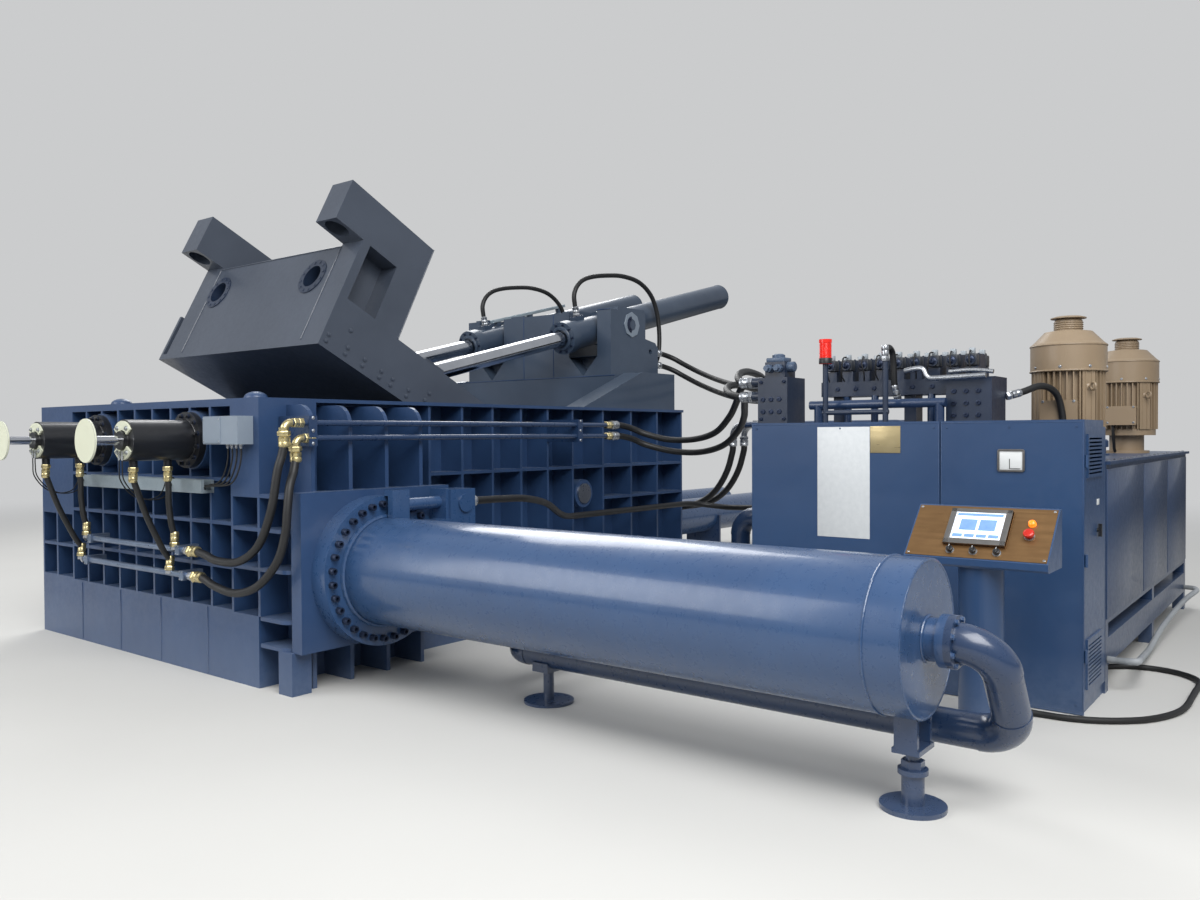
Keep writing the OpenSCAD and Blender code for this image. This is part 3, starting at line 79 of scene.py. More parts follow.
# Directions that screws, nuts and welds face
right, left, away, toward, up, down = (1, 0, 0), (-1, 0, 0), (0, 1, 0), (0, -1, 0), (0, 0, 1), (0, 0, -1)


# Surfaces worked out as arrays
def gridFaces(m, n, wrapM=False, wrapN=False):
    # quads between neighbours of an m by n grid of points; a wrapped side runs back to its start
    i, j = np.meshgrid(np.arange(m - (not wrapM)), np.arange(n - (not wrapN)), indexing="ij")
    k, l = (i + 1) % m, (j + 1) % n
    return np.stack([i * n + j, k * n + j, k * n + l, i * n + l], -1).reshape(-1, 4)


def sideways(axis):
    # two unit directions square to the axis and to each other
    axis = np.asarray(axis, float) / np.linalg.norm(axis)
    first = np.cross(axis, up if abs(axis[2]) < 0.9 else right)
    first /= np.linalg.norm(first)
    return axis, first, np.cross(axis, first)


def turned(at, axis, profile, sides=32):
    # P(u, v) = at + h(u) axis + r(u) (cos v e1 + sin v e2), with (r, h) along the profile
    axis, e1, e2 = sideways(axis)
    r, h = np.array(profile, float).T
    v = np.linspace(0, 2 * np.pi, sides, endpoint=False)
    ring = np.outer(np.cos(v), e1) + np.outer(np.sin(v), e2)
    points = np.asarray(at, float) + h[:, None, None] * axis + r[:, None, None] * ring
    return points.reshape(-1, 3), gridFaces(len(r), sides, wrapN=True)


def drum(at, axis, radius, height, sides=24):
    # a plain disc or prism: the rectangle of radius and height turned about the axis
    return turned(at, axis, [(0, 0), (radius, 0), (radius, height), (0, height)], sides)


def smoothPath(points, steps=6):
    # Catmull-Rom curve: between b and c, 0.5 (2b + (c-a)t + (2a-5b+4c-d)t^2 + (3b-a-3c+d)t^3)
    p = np.asarray(points, float)
    a, b, c, d = np.vstack([p[:1], p[:-2]]), p[:-1], p[1:], np.vstack([p[2:], p[-1:]])
    t = np.linspace(0, 1, steps, endpoint=False)[:, None]
    a, b, c, d = (x[:, None, :] for x in (a, b, c, d))
    curve = 0.5 * (2 * b + (c - a) * t + (2 * a - 5 * b + 4 * c - d) * t**2 + (3 * b - a - 3 * c + d) * t**3)
    return np.vstack([curve.reshape(-1, 3), p[-1:]])


def carriedAlong(path, radius, sides=14):
    # P(u, v) = path(u) + r(u) (cos v n(u) + sin v b(u)), n kept square to the path without twist
    path = np.asarray(path, float)
    along = np.gradient(path, axis=0)
    along /= np.linalg.norm(along, axis=1)[:, None]
    normal = sideways(along[0])[1]
    normals = []
    for t in along:
        normal = normal - (normal @ t) * t
        normal = normal / np.linalg.norm(normal)
        normals.append(normal)
    normals = np.array(normals)
    cross = np.cross(along, normals)
    r = np.broadcast_to(np.asarray(radius, float), (len(path),))[:, None, None]
    v = np.linspace(0, 2 * np.pi, sides, endpoint=False)[None, :, None]
    rings = path[:, None, :] + r * (np.cos(v) * normals[:, None, :] + np.sin(v) * cross[:, None, :])
    ends = [np.repeat(path[k][None, None, :], sides, 1) for k in (0, -1)]
    points = np.concatenate([ends[0], rings, ends[1]])
    return points.reshape(-1, 3), gridFaces(len(points), sides, wrapN=True)


def softBox(low, high, edge=0.004, steps=3):
    # a round-cornered rectangle walked by v, drawn in by the edge's quarter circle along u, closed to its
    # middle at both ends
    low, high = np.minimum(low, high).astype(float), np.maximum(low, high).astype(float)
    mid, half = (low + high) / 2, (high - low) / 2
    edge = min(edge, *(half * 0.9))
    bow = np.linspace(0, np.pi / 2, steps)
    walk = (np.arange(4)[:, None] * np.pi / 2 + bow).ravel()
    corner = np.repeat([[1, 1], [-1, 1], [-1, -1], [1, -1]], steps, 0) * (half[:2] - edge)
    out = edge * np.concatenate([np.sin(bow), np.sin(bow[::-1])])
    level = edge * (1 - np.cos(bow))
    level = np.concatenate([level - half[2], half[2] - level[::-1]])
    ring = corner + out[:, None, None] * np.stack([np.cos(walk), np.sin(walk)], -1)
    ring = np.concatenate([0 * ring[:1], ring, 0 * ring[:1]])
    level = np.concatenate([[-half[2]], level, [half[2]]])[:, None, None]
    points = np.concatenate([ring, np.broadcast_to(level, (*ring.shape[:2], 1))], -1) + mid
    return points.reshape(-1, 3), gridFaces(len(ring), len(walk), wrapN=True)


def arcPlate(at, axis, inner, outer, thick, middle, spread, steps=25):
    # a flat ring segment: P(u, v) is corner v of its section at the angle u about the axis, its ends closed
    axis, e1, e2 = sideways(axis)
    u = np.radians(middle) + np.radians(spread) * np.linspace(-1, 1, steps)
    out = np.cos(u)[:, None] * e1 + np.sin(u)[:, None] * e2
    section = [(inner, 0), (outer, 0), (outer, thick), (inner, thick)]
    rings = np.stack([np.asarray(at, float) + r * out + h * axis for r, h in section], 1)
    ends = [np.repeat(rings[k].mean(0)[None, None], 4, 1) for k in (0, -1)]
    points = np.concatenate([ends[0], rings, ends[1]])
    return points.reshape(-1, 3), gridFaces(len(points), 4, wrapN=True)


def weldBead(start, end, radius, steps):
    # a rod of filler laid along a line, its radius swelling a little at each ripple
    path = smoothPath(np.linspace(start, end, steps), 12)
    ripple = 1 + 0.14 * np.sin(np.arange(len(path)) * 2.1)
    return carriedAlong(path, radius * ripple, 6)


def ringBead(at, axis, ringRadius, radius, count=96, ripple=0.12):
    # P(u, v) = circle(u) + r (cos v outward + sin v axis), r swelling at each ripple
    axis, e1, e2 = sideways(axis)
    u = np.linspace(0, 2 * np.pi, count, endpoint=False)[:, None, None]
    v = np.linspace(0, 2 * np.pi, 8, endpoint=False)[None, :, None]
    out = np.cos(u) * e1 + np.sin(u) * e2
    r = radius * (1 + ripple * np.sin(u * count / 3))
    points = np.asarray(at, float) + ringRadius * out + r * (np.cos(v) * out + np.sin(v) * axis)
    return points.reshape(-1, 3), gridFaces(count, 8, wrapM=True, wrapN=True)


def hexScrew(at, axis, size, height=0.6):
    # a six-sided head with a domed top on a round washer; size is half the width over corners
    foot, top = size * 0.18, size * (0.18 + height)
    head = [(0, foot), (size, foot), (size, top * 0.85), (size * 0.82, top), (0, top)]
    return [drum(at, axis, size * 1.3, foot, 20), turned(at, axis, head, 6)]


def socketScrew(at, axis, size, height):
    # a round head with a rounded rim and a six-sided socket sunk in its top
    rim = size * 0.12
    head = [(0, 0), (size, 0), (size, height - rim), (size - rim * 0.3, height - rim * 0.3),
            (size - rim, height), (size * 0.55, height), (size * 0.5, height * 0.45), (0, height * 0.45)]
    return [turned(at, axis, head, 18)]


def inRows(screw, xs, ys, zs, axis, *size):
    # one screw at every crossing of the given x, y and z
    return [s for at in product(*map(np.atleast_1d, (xs, ys, zs))) for s in screw(at, axis, *size)]


def inRing(screw, at, axis, radius, count, *size, first=0.5):
    # one screw at each angle a = (k + first) turn / count, at the point at + radius (cos a e1 + sin a e2)
    e1, e2 = sideways(axis)[1:]
    angles = (np.arange(count) + first) * 2 * np.pi / count
    return [s for a in angles for s in screw(at + radius * (np.cos(a) * e1 + np.sin(a) * e2), axis, *size)]


def moved(shapes, move, *more):
    # every point p of the shapes becomes move(p)
    return [(move(points, *more), faces) for points, faces in shapes]


def together(shapes):
    # several shapes as one, the faces of each counted on from the last
    start = np.cumsum([0] + [len(points) for points, faces in shapes])
    return np.vstack([s[0] for s in shapes]), np.vstack([s[1] + k for s, k in zip(shapes, start)])


def makePiece(name, shapes, look, body="press", stands=()):
    # one mesh from all the shapes, its seams closed, its faces outwards and edges over 35 degrees sharp
    points, faces = together(shapes)
    mesh = bpy.data.meshes.new(name)
    mesh.from_pydata(place(points).tolist(), [], faces.tolist())
    work = bmesh.new()
    work.from_mesh(mesh)
    bmesh.ops.remove_doubles(work, verts=work.verts, dist=1e-6)
    bmesh.ops.recalc_face_normals(work, faces=work.faces)
    work.to_mesh(mesh)
    work.free()
    mesh.shade_smooth()
    mesh.set_sharp_from_angle(angle=np.radians(35))
    mesh.materials.append(finish[look])
    piece = bpy.data.objects.new(name, mesh)
    bpy.context.scene.collection.objects.link(piece)
    if body:
        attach(piece, body)
    if stands:
        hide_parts(*stands)
    return piece


def makePieces(pieces, body="press", end=""):
    # several pieces on one body, their names given one ending, each row with its name, shapes and look
    for name, shapes, look in pieces:
        makePiece(name + end, shapes, look, body)


# Materials
def toLinear(code):
    # sRGB hex to linear light
    c = np.array([int(code[k:k + 2], 16) for k in (1, 3, 5)]) / 255
    return (*np.where(c <= 0.04045, c / 12.92, ((c + 0.055) / 1.055) ** 2.4), 1.0)


def setUp(tree, node, values):
    # the node's own sockets: a socket given as a value is linked, a constant is set
    for key, value in values.items():
        if isinstance(value, bpy.types.NodeSocket):
            tree.links.new(value, node.inputs[key])
        else:
            node.inputs[key].default_value = value


def add(tree, kind, inputs=None, **settings):
    # one node with its settings and its inputs
    node = tree.nodes.new("ShaderNode" + kind)
    for key, value in settings.items():
        setattr(node, key, value)
    setUp(tree, node, inputs or {})
    return node


def newMaterial(name):
    # an empty material with its node tree, its shader and the object's own coordinates
    made = bpy.data.materials.new(name)
    made.use_nodes = True
    tree = made.node_tree
    where = add(tree, "TexCoord").outputs["Object"]
    return made, tree, tree.nodes["Principled BSDF"], where


def patchyTone(tree, where, look, scale, detail, **more):
    # the look's dark and light colours mixed by noise of the given scale
    patch = add(tree, "TexNoise", {"Vector": where, "Scale": scale, "Detail": detail, **more})
    colors = {0: patch.outputs["Fac"], 6: toLinear(look["dark"]), 7: toLinear(look["light"])}
    return add(tree, "Mix", colors, data_type="RGBA").outputs[2]


def sprayedEnamel(name, look):
    # alkyd machine enamel sprayed on welded plate: glossy, cloudy, with orange peel, on plate that isn't
    # quite flat, grey dust on what faces up, which is also painted skylight that makes the tops paler,
    # and grime near the floor
    made, tree, shader, where = newMaterial(name)
    body = patchyTone(tree, where, look, 1.7, 5.0, Roughness=0.6)
    fine = add(tree, "TexNoise", {"Vector": where, "Scale": 23.0, "Detail": 6.0, "Roughness": 0.7})
    fine = fine.outputs["Fac"]
    facing = add(tree, "NewGeometry").outputs["Normal"]
    upward = add(tree, "SeparateXYZ", {0: facing}).outputs["Z"]
    # what faces up takes the pale dust colour: real dust, and painted skylight that makes top faces paler
    topDustAndSkyLight = add(tree, "MapRange", {0: upward, 1: 0.6, 2: 1.0, 3: 0.0, 4: look["dusty"]}).outputs[0]
    height = add(tree, "SeparateXYZ", {0: where}).outputs["Z"]
    low = add(tree, "MapRange", {0: height, 1: 0.35, 2: 0.0, 3: 0.0, 4: 0.35}).outputs[0]
    dustAndTopLightShare = add(tree, "Math", {0: topDustAndSkyLight, 1: low}, operation="MAXIMUM").outputs[0]
    dustAndTopLightShare = add(tree, "Math", {0: dustAndTopLightShare, 1: fine}, operation="MULTIPLY").outputs[0]
    color = add(tree, "Mix", {0: dustAndTopLightShare, 6: body, 7: toLinear(look["dust"])}, data_type="RGBA").outputs[2]
    matt, dull = look["rough"] - 0.07, look["rough"] + 0.1
    rough = add(tree, "MapRange", {0: fine, 1: 0.3, 2: 0.75, 3: matt, 4: dull}).outputs[0]
    # plate waves about 0.2 m long, under an orange peel drawn at 6 mm
    plate = add(tree, "TexNoise", {"Vector": where, "Scale": 4.5, "Detail": 1.0}).outputs["Fac"]
    peel = add(tree, "TexNoise", {"Vector": where, "Scale": 160.0, "Detail": 2.0}).outputs["Fac"]
    wavy = add(tree, "Bump", {"Height": plate, "Strength": 0.35, "Distance": 0.012}).outputs[0]
    skin = add(tree, "Bump", {"Height": peel, "Strength": 0.25, "Distance": 0.0012, "Normal": wavy})
    setUp(tree, shader, {"Base Color": color, "Roughness": rough, "Normal": skin.outputs[0], "IOR": 1.5,
                         "Coat Weight": look["coat"], "Coat Roughness": 0.12})
    return made


def bareMetal(name, look):
    # turned, ground or plated metal: tool lines as stretched noise, stains in the roughness
    made, tree, shader, where = newMaterial(name)
    stretch = add(tree, "Mapping", {"Vector": where, "Scale": look["grain"]}).outputs[0]
    lines = add(tree, "TexNoise", {"Vector": stretch, "Scale": 60.0, "Detail": 4.0}).outputs["Fac"]
    matt, dull = look["rough"] * 0.7, look["rough"] * 1.35
    rough = add(tree, "MapRange", {0: lines, 1: 0.25, 2: 0.75, 3: matt, 4: dull}).outputs[0]
    bump = add(tree, "Bump", {"Height": lines, "Strength": 0.15, "Distance": 0.0006}).outputs[0]
    setUp(tree, shader, {"Base Color": patchyTone(tree, where, look, 9.0, 5.0), "Metallic": look["metal"],
                         "Roughness": rough, "Normal": bump})
    return made


def mouldedRubber(name, look):
    # hose cover or cable sheath: dull black with a cloth-wrapped texture, dusty in patches
    made, tree, shader, where = newMaterial(name)
    weave = {"Vector": where, "Scale": 60.0, "Distortion": 1.5}
    wrap = add(tree, "TexWave", weave, bands_direction="DIAGONAL")
    bump = add(tree, "Bump", {"Height": wrap.outputs["Fac"], "Strength": 0.25, "Distance": 0.0008}).outputs[0]
    setUp(tree, shader, {"Base Color": patchyTone(tree, where, look, 6.0, 6.0), "Roughness": look["rough"],
                         "Normal": bump})
    return made


def mouldedPlastic(name, look):
    # injection-moulded plastic: even colour, fine spark-eroded grain, a glow of its own where it is lit
    made, tree, shader, where = newMaterial(name)
    grain = add(tree, "TexNoise", {"Vector": where, "Scale": 400.0, "Detail": 1.0}).outputs["Fac"]
    bump = add(tree, "Bump", {"Height": grain, "Strength": 0.1, "Distance": 0.0004}).outputs[0]
    setUp(tree, shader, {"Base Color": patchyTone(tree, where, look, 30.0, 3.0), "Roughness": look["rough"],
                         "Normal": bump})
    if "glow" in look:
        setUp(tree, shader, {"Emission Color": toLinear(look["light"]), "Emission Strength": look["glow"]})
    return made


# the share of pale dust colour on upward faces is partly real dust and partly painted skylight on the tops
enamelKeys = ("dark", "light", "dust", "dusty", "rough", "coat")
enamelLooks = {
    "boxBlueEnamel": ("#22385a", "#2f4a71", "#8390a4", 0.5, 0.42, 0.25),
    "barrelGlossEnamel": ("#263f63", "#34527a", "#7d8aa0", 0.12, 0.3, 0.5),
    "lidGreyBlueEnamel": ("#333a46", "#464e5b", "#77808f", 0.3, 0.4, 0.25),
    "towerGreyBlueEnamel": ("#2f3b4c", "#425164", "#7b8591", 0.35, 0.4, 0.25),
    "cylinderNavyEnamel": ("#1b2c48", "#273e60", "#6d788c", 0.2, 0.3, 0.5),
    "cabinetSatinEnamel": ("#213a5d", "#2a476d", "#8390a4", 0.3, 0.4, 0.2),
    "tankNavyEnamel": ("#1e3251", "#273f61", "#7d899d", 0.35, 0.4, 0.2),
    "lockBlackEnamel": ("#0e0f12", "#1b1d22", "#5c6068", 0.2, 0.35, 0.3),
    "motorBeigeEnamel": ("#7d6b56", "#97846b", "#c2b59f", 0.35, 0.45, 0.1),
    "valveDarkEnamel": ("#16202f", "#24324a", "#68717f", 0.3, 0.4, 0.2),
    "junctionGreyEnamel": ("#6d7987", "#8994a0", "#a5adb5", 0.2, 0.4, 0.1),
    "blockPaleEnamel": ("#3a4a60", "#516279", "#7d8794", 0.2, 0.4, 0.1),
    "discPaleEnamel": ("#c9ccb4", "#e1e3cf", "#b9bcae", 0.1, 0.45, 0.1),
    "meterWhiteEnamel": ("#cdd0d0", "#e4e6e4", "#b5b8b8", 0.1, 0.35, 0.2),
}
metalKeys = ("dark", "light", "metal", "rough", "grain")
metalLooks = {
    "hardChrome": ("#b9bcc2", "#d6d8dc", 1.0, 0.14, (1, 1, 1)),
    "turnedSteel": ("#8d9096", "#b4b7bc", 1.0, 0.32, (1, 6, 1)),
    "wornLinerSteel": ("#3a3633", "#5d5854", 0.8, 0.5, (0.3, 4, 1)),
    "drawnSteelTube": ("#5f6f88", "#8795aa", 0.7, 0.34, (3, 0.4, 3)),
    "zincPlate": ("#b8a878", "#d6c99c", 0.9, 0.3, (1, 1, 1)),
    "brightZinc": ("#9da1a6", "#c3c6ca", 0.95, 0.3, (1, 1, 1)),
    "blackOxideSteel": ("#1a2233", "#2d3a55", 0.5, 0.36, (1, 1, 1)),
    "brushedBronzePanel": ("#7a5c3d", "#99774f", 0.75, 0.34, (1, 0.05, 1)),
    "brassPlate": ("#a5946c", "#c2b289", 0.55, 0.35, (1, 0.1, 1)),
    "galvanisedSheet": ("#8796a0", "#a9b6bd", 0.6, 0.42, (1, 1, 1)),
}
plainKeys = ("dark", "light", "rough", "glow")
rubberLooks = {
    "hoseRubber": ("#0c0c0d", "#1d1e20", 0.5),
    "sheathRubber": ("#0a0a0b", "#161718", 0.6),
    "conduitGreyPlastic": ("#84888c", "#a3a7aa", 0.5),
}
plasticLooks = {
    "redLensPlastic": ("#b0140c", "#e02a1c", 0.2, 0.35),
    "redButtonPlastic": ("#a81a10", "#cc2a1a", 0.3),
    "orangeLensPlastic": ("#f06a10", "#ff8a24", 0.2, 0.9),
    "knobBlackPlastic": ("#101113", "#1b1c1f", 0.4),
    "screenLitGlass": ("#cfdceb", "#dfe9f5", 0.12, 0.8),
    "screenBlueTile": ("#5b7fae", "#7a9cc8", 0.15, 0.4),
    "bezelGreyPlastic": ("#4b4a49", "#605e5c", 0.45),
    "coilGreyPlastic": ("#25282d", "#3a3e45", 0.45),
    "plugClearPlastic": ("#8f979e", "#aab1b6", 0.3),
    "signWhiteVinyl": ("#c2c6c8", "#d5d8d9", 0.4),
}
families = ((sprayedEnamel, enamelKeys, enamelLooks), (bareMetal, metalKeys, metalLooks),
            (mouldedRubber, plainKeys, rubberLooks), (mouldedPlastic, plainKeys, plasticLooks))
finish = {name: make(name, dict(zip(keys, look)))
          for make, keys, looks in families for name, look in looks.items()}
nodeFinish = {
    "boxBlueEnamel": ["base_frame", "end_wall", "near_wall", "far_wall", "rear_wall", "top_deck",
                      "cylinder_mount", "locating_domes", "bale_gate"],
    "towerGreyBlueEnamel": ["cylinder_tower", "lid_cylinder_near", "lid_cylinder_far"],
    "barrelGlossEnamel": ["side_cylinder", "port_block", "main_cylinders"],
    "cylinderNavyEnamel": ["oil_pipe", "jack_stand", "pipe_stand", "main_cylinder_feet", "gate_cylinder",
                           "side_pipes"],
    "lidGreyBlueEnamel": ["lid_shell"],
    "cabinetSatinEnamel": ["cabinet", "cabinet_panels", "cabinet_door", "console_stand"],
    "tankNavyEnamel": ["oil_tank"],
    "lockBlackEnamel": ["lock_cylinder_near", "lock_cylinder_far"],
    "motorBeigeEnamel": ["motor_front", "motor_rear"],
    "valveDarkEnamel": ["valve_bank", "lid_sleeves"],
    "junctionGreyEnamel": ["junction_box", "switchgear"],
    "hardChrome": ["lid_rod_near", "lid_rod_far", "side_ram", "main_ram"],
    "turnedSteel": ["hinge_pins", "lid_rod_pins", "lock_pin_near", "lock_pin_far"],
    "wornLinerSteel": ["floor_liner"],
    "blackOxideSteel": ["side_flange_bolts"],
    "drawnSteelTube": ["lock_pipes"],
    "galvanisedSheet": ["cable_tray"],
    "hoseRubber": ["loop_hoses", "lock_hoses", "lid_hose_near", "lid_hose_far", "supply_hoses"],
    "sheathRubber": ["floor_cable"],
    "redLensPlastic": ["beacon"],
    "brushedBronzePanel": ["operator_screen"],
    "redButtonPlastic": ["stop_button"],
    "knobBlackPlastic": ["selector_left", "selector_middle", "selector_right", "door_latch"],
}
for name, nodes in nodeFinish.items():
    for node in nodes:
        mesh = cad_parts[node].data
        mesh.materials.clear()
        mesh.materials.append(finish[name])
print("materials")

# Driving places that several pieces share
sidePipe = {"y": -0.300, "z": (1.680, 1.585), "start": (0.030, 0.110), "end": 3.260, "bend": 0.050}
manifold = {"x": -0.110, "z": (0.840, 0.675), "y": ((0.640, 2.120), (0.590, 2.180)), "inlet": -0.130,
            "lean": 0.070, "boss": 0.0212}
lockCylinder = {"y": (0.800, 2.100), "z": 1.576, "port": 1.401,
                "ports": ((-0.170, 0.800, 0), (-0.400, 0.800, 1), (-0.170, 2.080, 0), (-0.400, 2.100, 1))}
lidCylinder = {"y": (0.800, 2.100), "at": (4.600, 2.728), "tilt": 13.834, "port": -0.420}
powerUnit = {"front": 2.450, "left": -2.150, "right": -4.250}
console = {"at": (1.840, -3.870), "low": (1.690, -3.5025, 0.935)}

# The floor cable: down out of the cabinet's gland, a loop, back over the floor and up to the console's gland
floorCable = {"diameter": 0.036, "route": [
    (3.0804, -4.09, 0.1), (3.13, -4.09, 0.1), (3.18, -4.09, 0.1), (3.2539, -4.09, 0.0897),
    (3.3222, -4.09, 0.0595), (3.3905, -4.09, 0.0293), (3.4645, -4.09, 0.019), (3.5495, -4.09, 0.019),
    (3.6643, -4.1128, 0.019), (3.7616, -4.1779, 0.019), (3.8266, -4.2752, 0.019), (3.8495, -4.39, 0.019),
    (3.8266, -4.5048, 0.019), (3.7616, -4.6021, 0.019), (3.6643, -4.6672, 0.019), (3.5495, -4.69, 0.019),
    (3.34, -4.69, 0.019), (3.16, -4.69, 0.019), (2.99, -4.69, 0.019), (2.82, -4.673, 0.019),
    (2.665, -4.625, 0.019), (2.52, -4.545, 0.019), (2.415, -4.44, 0.019), (2.34, -4.325, 0.019),
    (2.298, -4.2, 0.019), (2.29, -4.075, 0.019), (2.28, -4.0117, 0.0233), (2.2508, -3.9545, 0.0334),
    (2.2055, -3.9092, 0.0456), (2.1483, -3.88, 0.0557), (2.085, -3.87, 0.06), (2.035, -3.87, 0.06),
    (1.9854, -3.87, 0.06)
]}


def lengthOf(path):
    # the sum of the steps along the path
    return float(np.linalg.norm(np.diff(path, axis=0), axis=1).sum())


def makeFloorCable():
    # a round sheath carried along the smoothed route, with a turned gland at each end
    path = smoothPath(floorCable["route"])
    cable = makePiece("floorCable", [carriedAlong(path, floorCable["diameter"] / 2, 12)], "sheathRubber",
                      stands=["floor_cable"])
    gland = [(0, 0.0), (0.030, 0.0), (0.031, 0.003), (0.031, 0.014), (0.0255, 0.018), (0.0235, 0.030),
             (0.0205, 0.046), (0.0188, 0.055), (0.0182, 0.056), (0, 0.056)]
    for name, at in (("cabinetRelief", path[0]), ("consoleRelief", path[-1])):
        makePiece(name, [turned(at, right, gland, 24)], "knobBlackPlastic")
    print("floor cable", round(lengthOf(path), 3), "m")


makeFloorCable()

# Hoses, each row of points one route
hoses = {"loop": 0.026, "lock": 0.020, "lid": 0.024, "supply": 0.027, "conduit": 0.020}
loopRoutes = [[
    (-0.02, -0.3, 1.6296), (-0.02, -0.3, 1.56), (-0.035, -0.299, 1.48), (-0.065, -0.295, 1.38),
    (-0.092, -0.268, 1.15), (-0.105, -0.15, 0.93), (-0.11, 0.06, 0.815), (-0.11, 0.3, 0.8),
    (-0.11, 0.44, 0.825), (-0.11, 0.54, 0.84), (-0.11, 0.6396, 0.84)
], [
    (0.06, -0.3, 1.5346), (0.06, -0.3, 1.465), (0.035, -0.315, 1.38), (-0.018, -0.35, 1.29),
    (-0.046, -0.366, 1.15), (-0.056, -0.355, 1), (-0.08, -0.3, 0.83), (-0.104, -0.13, 0.675),
    (-0.11, 0.1, 0.612), (-0.11, 0.33, 0.632), (-0.11, 0.46, 0.668), (-0.11, 0.525, 0.675),
    (-0.11, 0.5896, 0.675)
]]
supplyRoutes = [[
    (3.2604, -0.3, 1.68), (3.33, -0.3, 1.68), (3.42, -0.304, 1.677), (3.53, -0.335, 1.652),
    (3.63, -0.42, 1.6), (3.7, -0.62, 1.55), (3.68, -0.9, 1.552), (3.57, -1.18, 1.61), (3.37, -1.43, 1.73),
    (3.15, -1.62, 1.83), (2.95, -1.765, 1.903), (2.815, -1.868, 1.942), (2.732, -1.955, 1.958),
    (2.7, -2.035, 1.96), (2.7, -2.0896, 1.96)
], [
    (3.2604, -0.3, 1.585), (3.33, -0.3, 1.585), (3.42, -0.304, 1.582), (3.54, -0.335, 1.557),
    (3.65, -0.42, 1.5), (3.74, -0.64, 1.445), (3.73, -0.93, 1.44), (3.63, -1.22, 1.5), (3.43, -1.48, 1.62),
    (3.2, -1.665, 1.725), (2.98, -1.795, 1.802), (2.825, -1.885, 1.843), (2.735, -1.96, 1.858),
    (2.7, -2.035, 1.86), (2.7, -2.0896, 1.86)
], [
    (5.0804, 0.48, 2.47), (5.16, 0.48, 2.47), (5.255, 0.467, 2.458), (5.335, 0.405, 2.42),
    (5.372, 0.29, 2.352), (5.335, 0.07, 2.255), (5.17, -0.27, 2.15), (4.84, -0.73, 2.06),
    (4.28, -1.25, 2.03), (3.6, -1.61, 2.06), (3.12, -1.76, 2.075), (2.83, -1.85, 2.05),
    (2.675, -1.915, 2.008), (2.6, -1.98, 1.97), (2.58, -2.04, 1.96), (2.58, -2.0896, 1.96)
], [
    (5.0804, 0.48, 2.34), (5.16, 0.48, 2.34), (5.255, 0.467, 2.328), (5.338, 0.405, 2.29),
    (5.378, 0.29, 2.222), (5.345, 0.06, 2.12), (5.19, -0.3, 2.01), (4.87, -0.77, 1.925),
    (4.34, -1.26, 1.9), (3.7, -1.56, 1.94), (3.2, -1.66, 1.975), (2.92, -1.715, 1.965),
    (2.745, -1.78, 1.932), (2.635, -1.87, 1.888), (2.588, -1.965, 1.864), (2.58, -2.035, 1.86),
    (2.58, -2.0896, 1.86)
]]
sidePortRoute = [
    (1.2254, -0.58, 1.14), (1.31, -0.58, 1.14), (1.42, -0.579, 1.139), (1.6, -0.572, 1.136),
    (1.88, -0.55, 1.122), (2.25, -0.43, 1.06), (2.6, -0.27, 0.95), (2.82, -0.18, 0.906),
    (3.05, -0.16, 0.9), (3.4, -0.16, 0.9), (4, -0.16, 0.9), (4.5, -0.16, 0.9), (4.72, -0.168, 0.897),
    (4.87, -0.215, 0.885), (4.95, -0.34, 0.868), (4.96, -0.56, 0.86), (4.82, -1.05, 0.9),
    (4.35, -1.58, 1.04), (3.75, -1.83, 1.23), (3.3, -1.89, 1.37), (3.08, -1.905, 1.44),
    (2.96, -1.94, 1.482), (2.905, -2.02, 1.498), (2.9, -2.085, 1.5), (2.9, -2.1496, 1.5)
]
conduitRoute = [
    (3.11, -4.2504, 0.2), (3.11, -4.3, 0.2), (3.127, -4.35, 0.197), (3.18, -4.385, 0.189),
    (3.27, -4.392, 0.172), (3.48, -4.37, 0.138), (3.85, -4.335, 0.09), (4.3, -4.31, 0.062),
    (4.84, -4.31, 0.12), (5.5, -4.312, 0.148), (6.1, -4.318, 0.162), (6.36, -4.342, 0.178),
    (6.48, -4.358, 0.19), (6.548, -4.342, 0.198), (6.57, -4.3, 0.2), (6.57, -4.2504, 0.2)
]
# The lid hoses over the tower, as (x, step towards the near side, z) from the barrel's own y
lidHoseFall = [(4.110, 0, 3.015), (4.150, 0.003, 3.105), (4.240, 0.010, 3.180), (4.370, 0.025, 3.228),
               (4.560, 0.055, 3.262), (4.800, 0.100, 3.280), (5.020, 0.160, 3.235), (5.180, 0.202, 3.110),
               (5.265, 0.222, 2.930), (5.295, 0.230, 2.740), (5.285, 0.238, 2.560), (5.245, 0.246, 2.440),
               (5.185, 0.250, 2.362), (5.130, 0.250, 2.340), (5.0804, 0.250, 2.340)]


def hoseEnd(path, radius, last=False):
    # a crimped ferrule and a hexagon nut turned about the first or last stretch of the path
    at, after = (path[-1], path[-4]) if last else (path[0], path[3])
    ferrule = [(0, 0.02), (1.15, 0.02), (1.15, 0.034), (1.38, 0.038), (1.38, 0.062), (1.30, 0.065),
               (1.38, 0.069), (1.38, 0.092), (1.12, 0.100), (0, 0.100)]
    nut = [(0, 0.0), (1.48, 0.0), (1.55, 0.004), (1.55, 0.024), (1.40, 0.030), (0, 0.030)]
    return [turned(at, after - at, np.array(profile) * (radius, 1), sides)
            for profile, sides in ((ferrule, 20), (nut, 6))]


def bothEnds(paths, radius):
    # the fittings at the two ends of every path
    return [shape for path in paths for last in (False, True) for shape in hoseEnd(path, radius, last)]


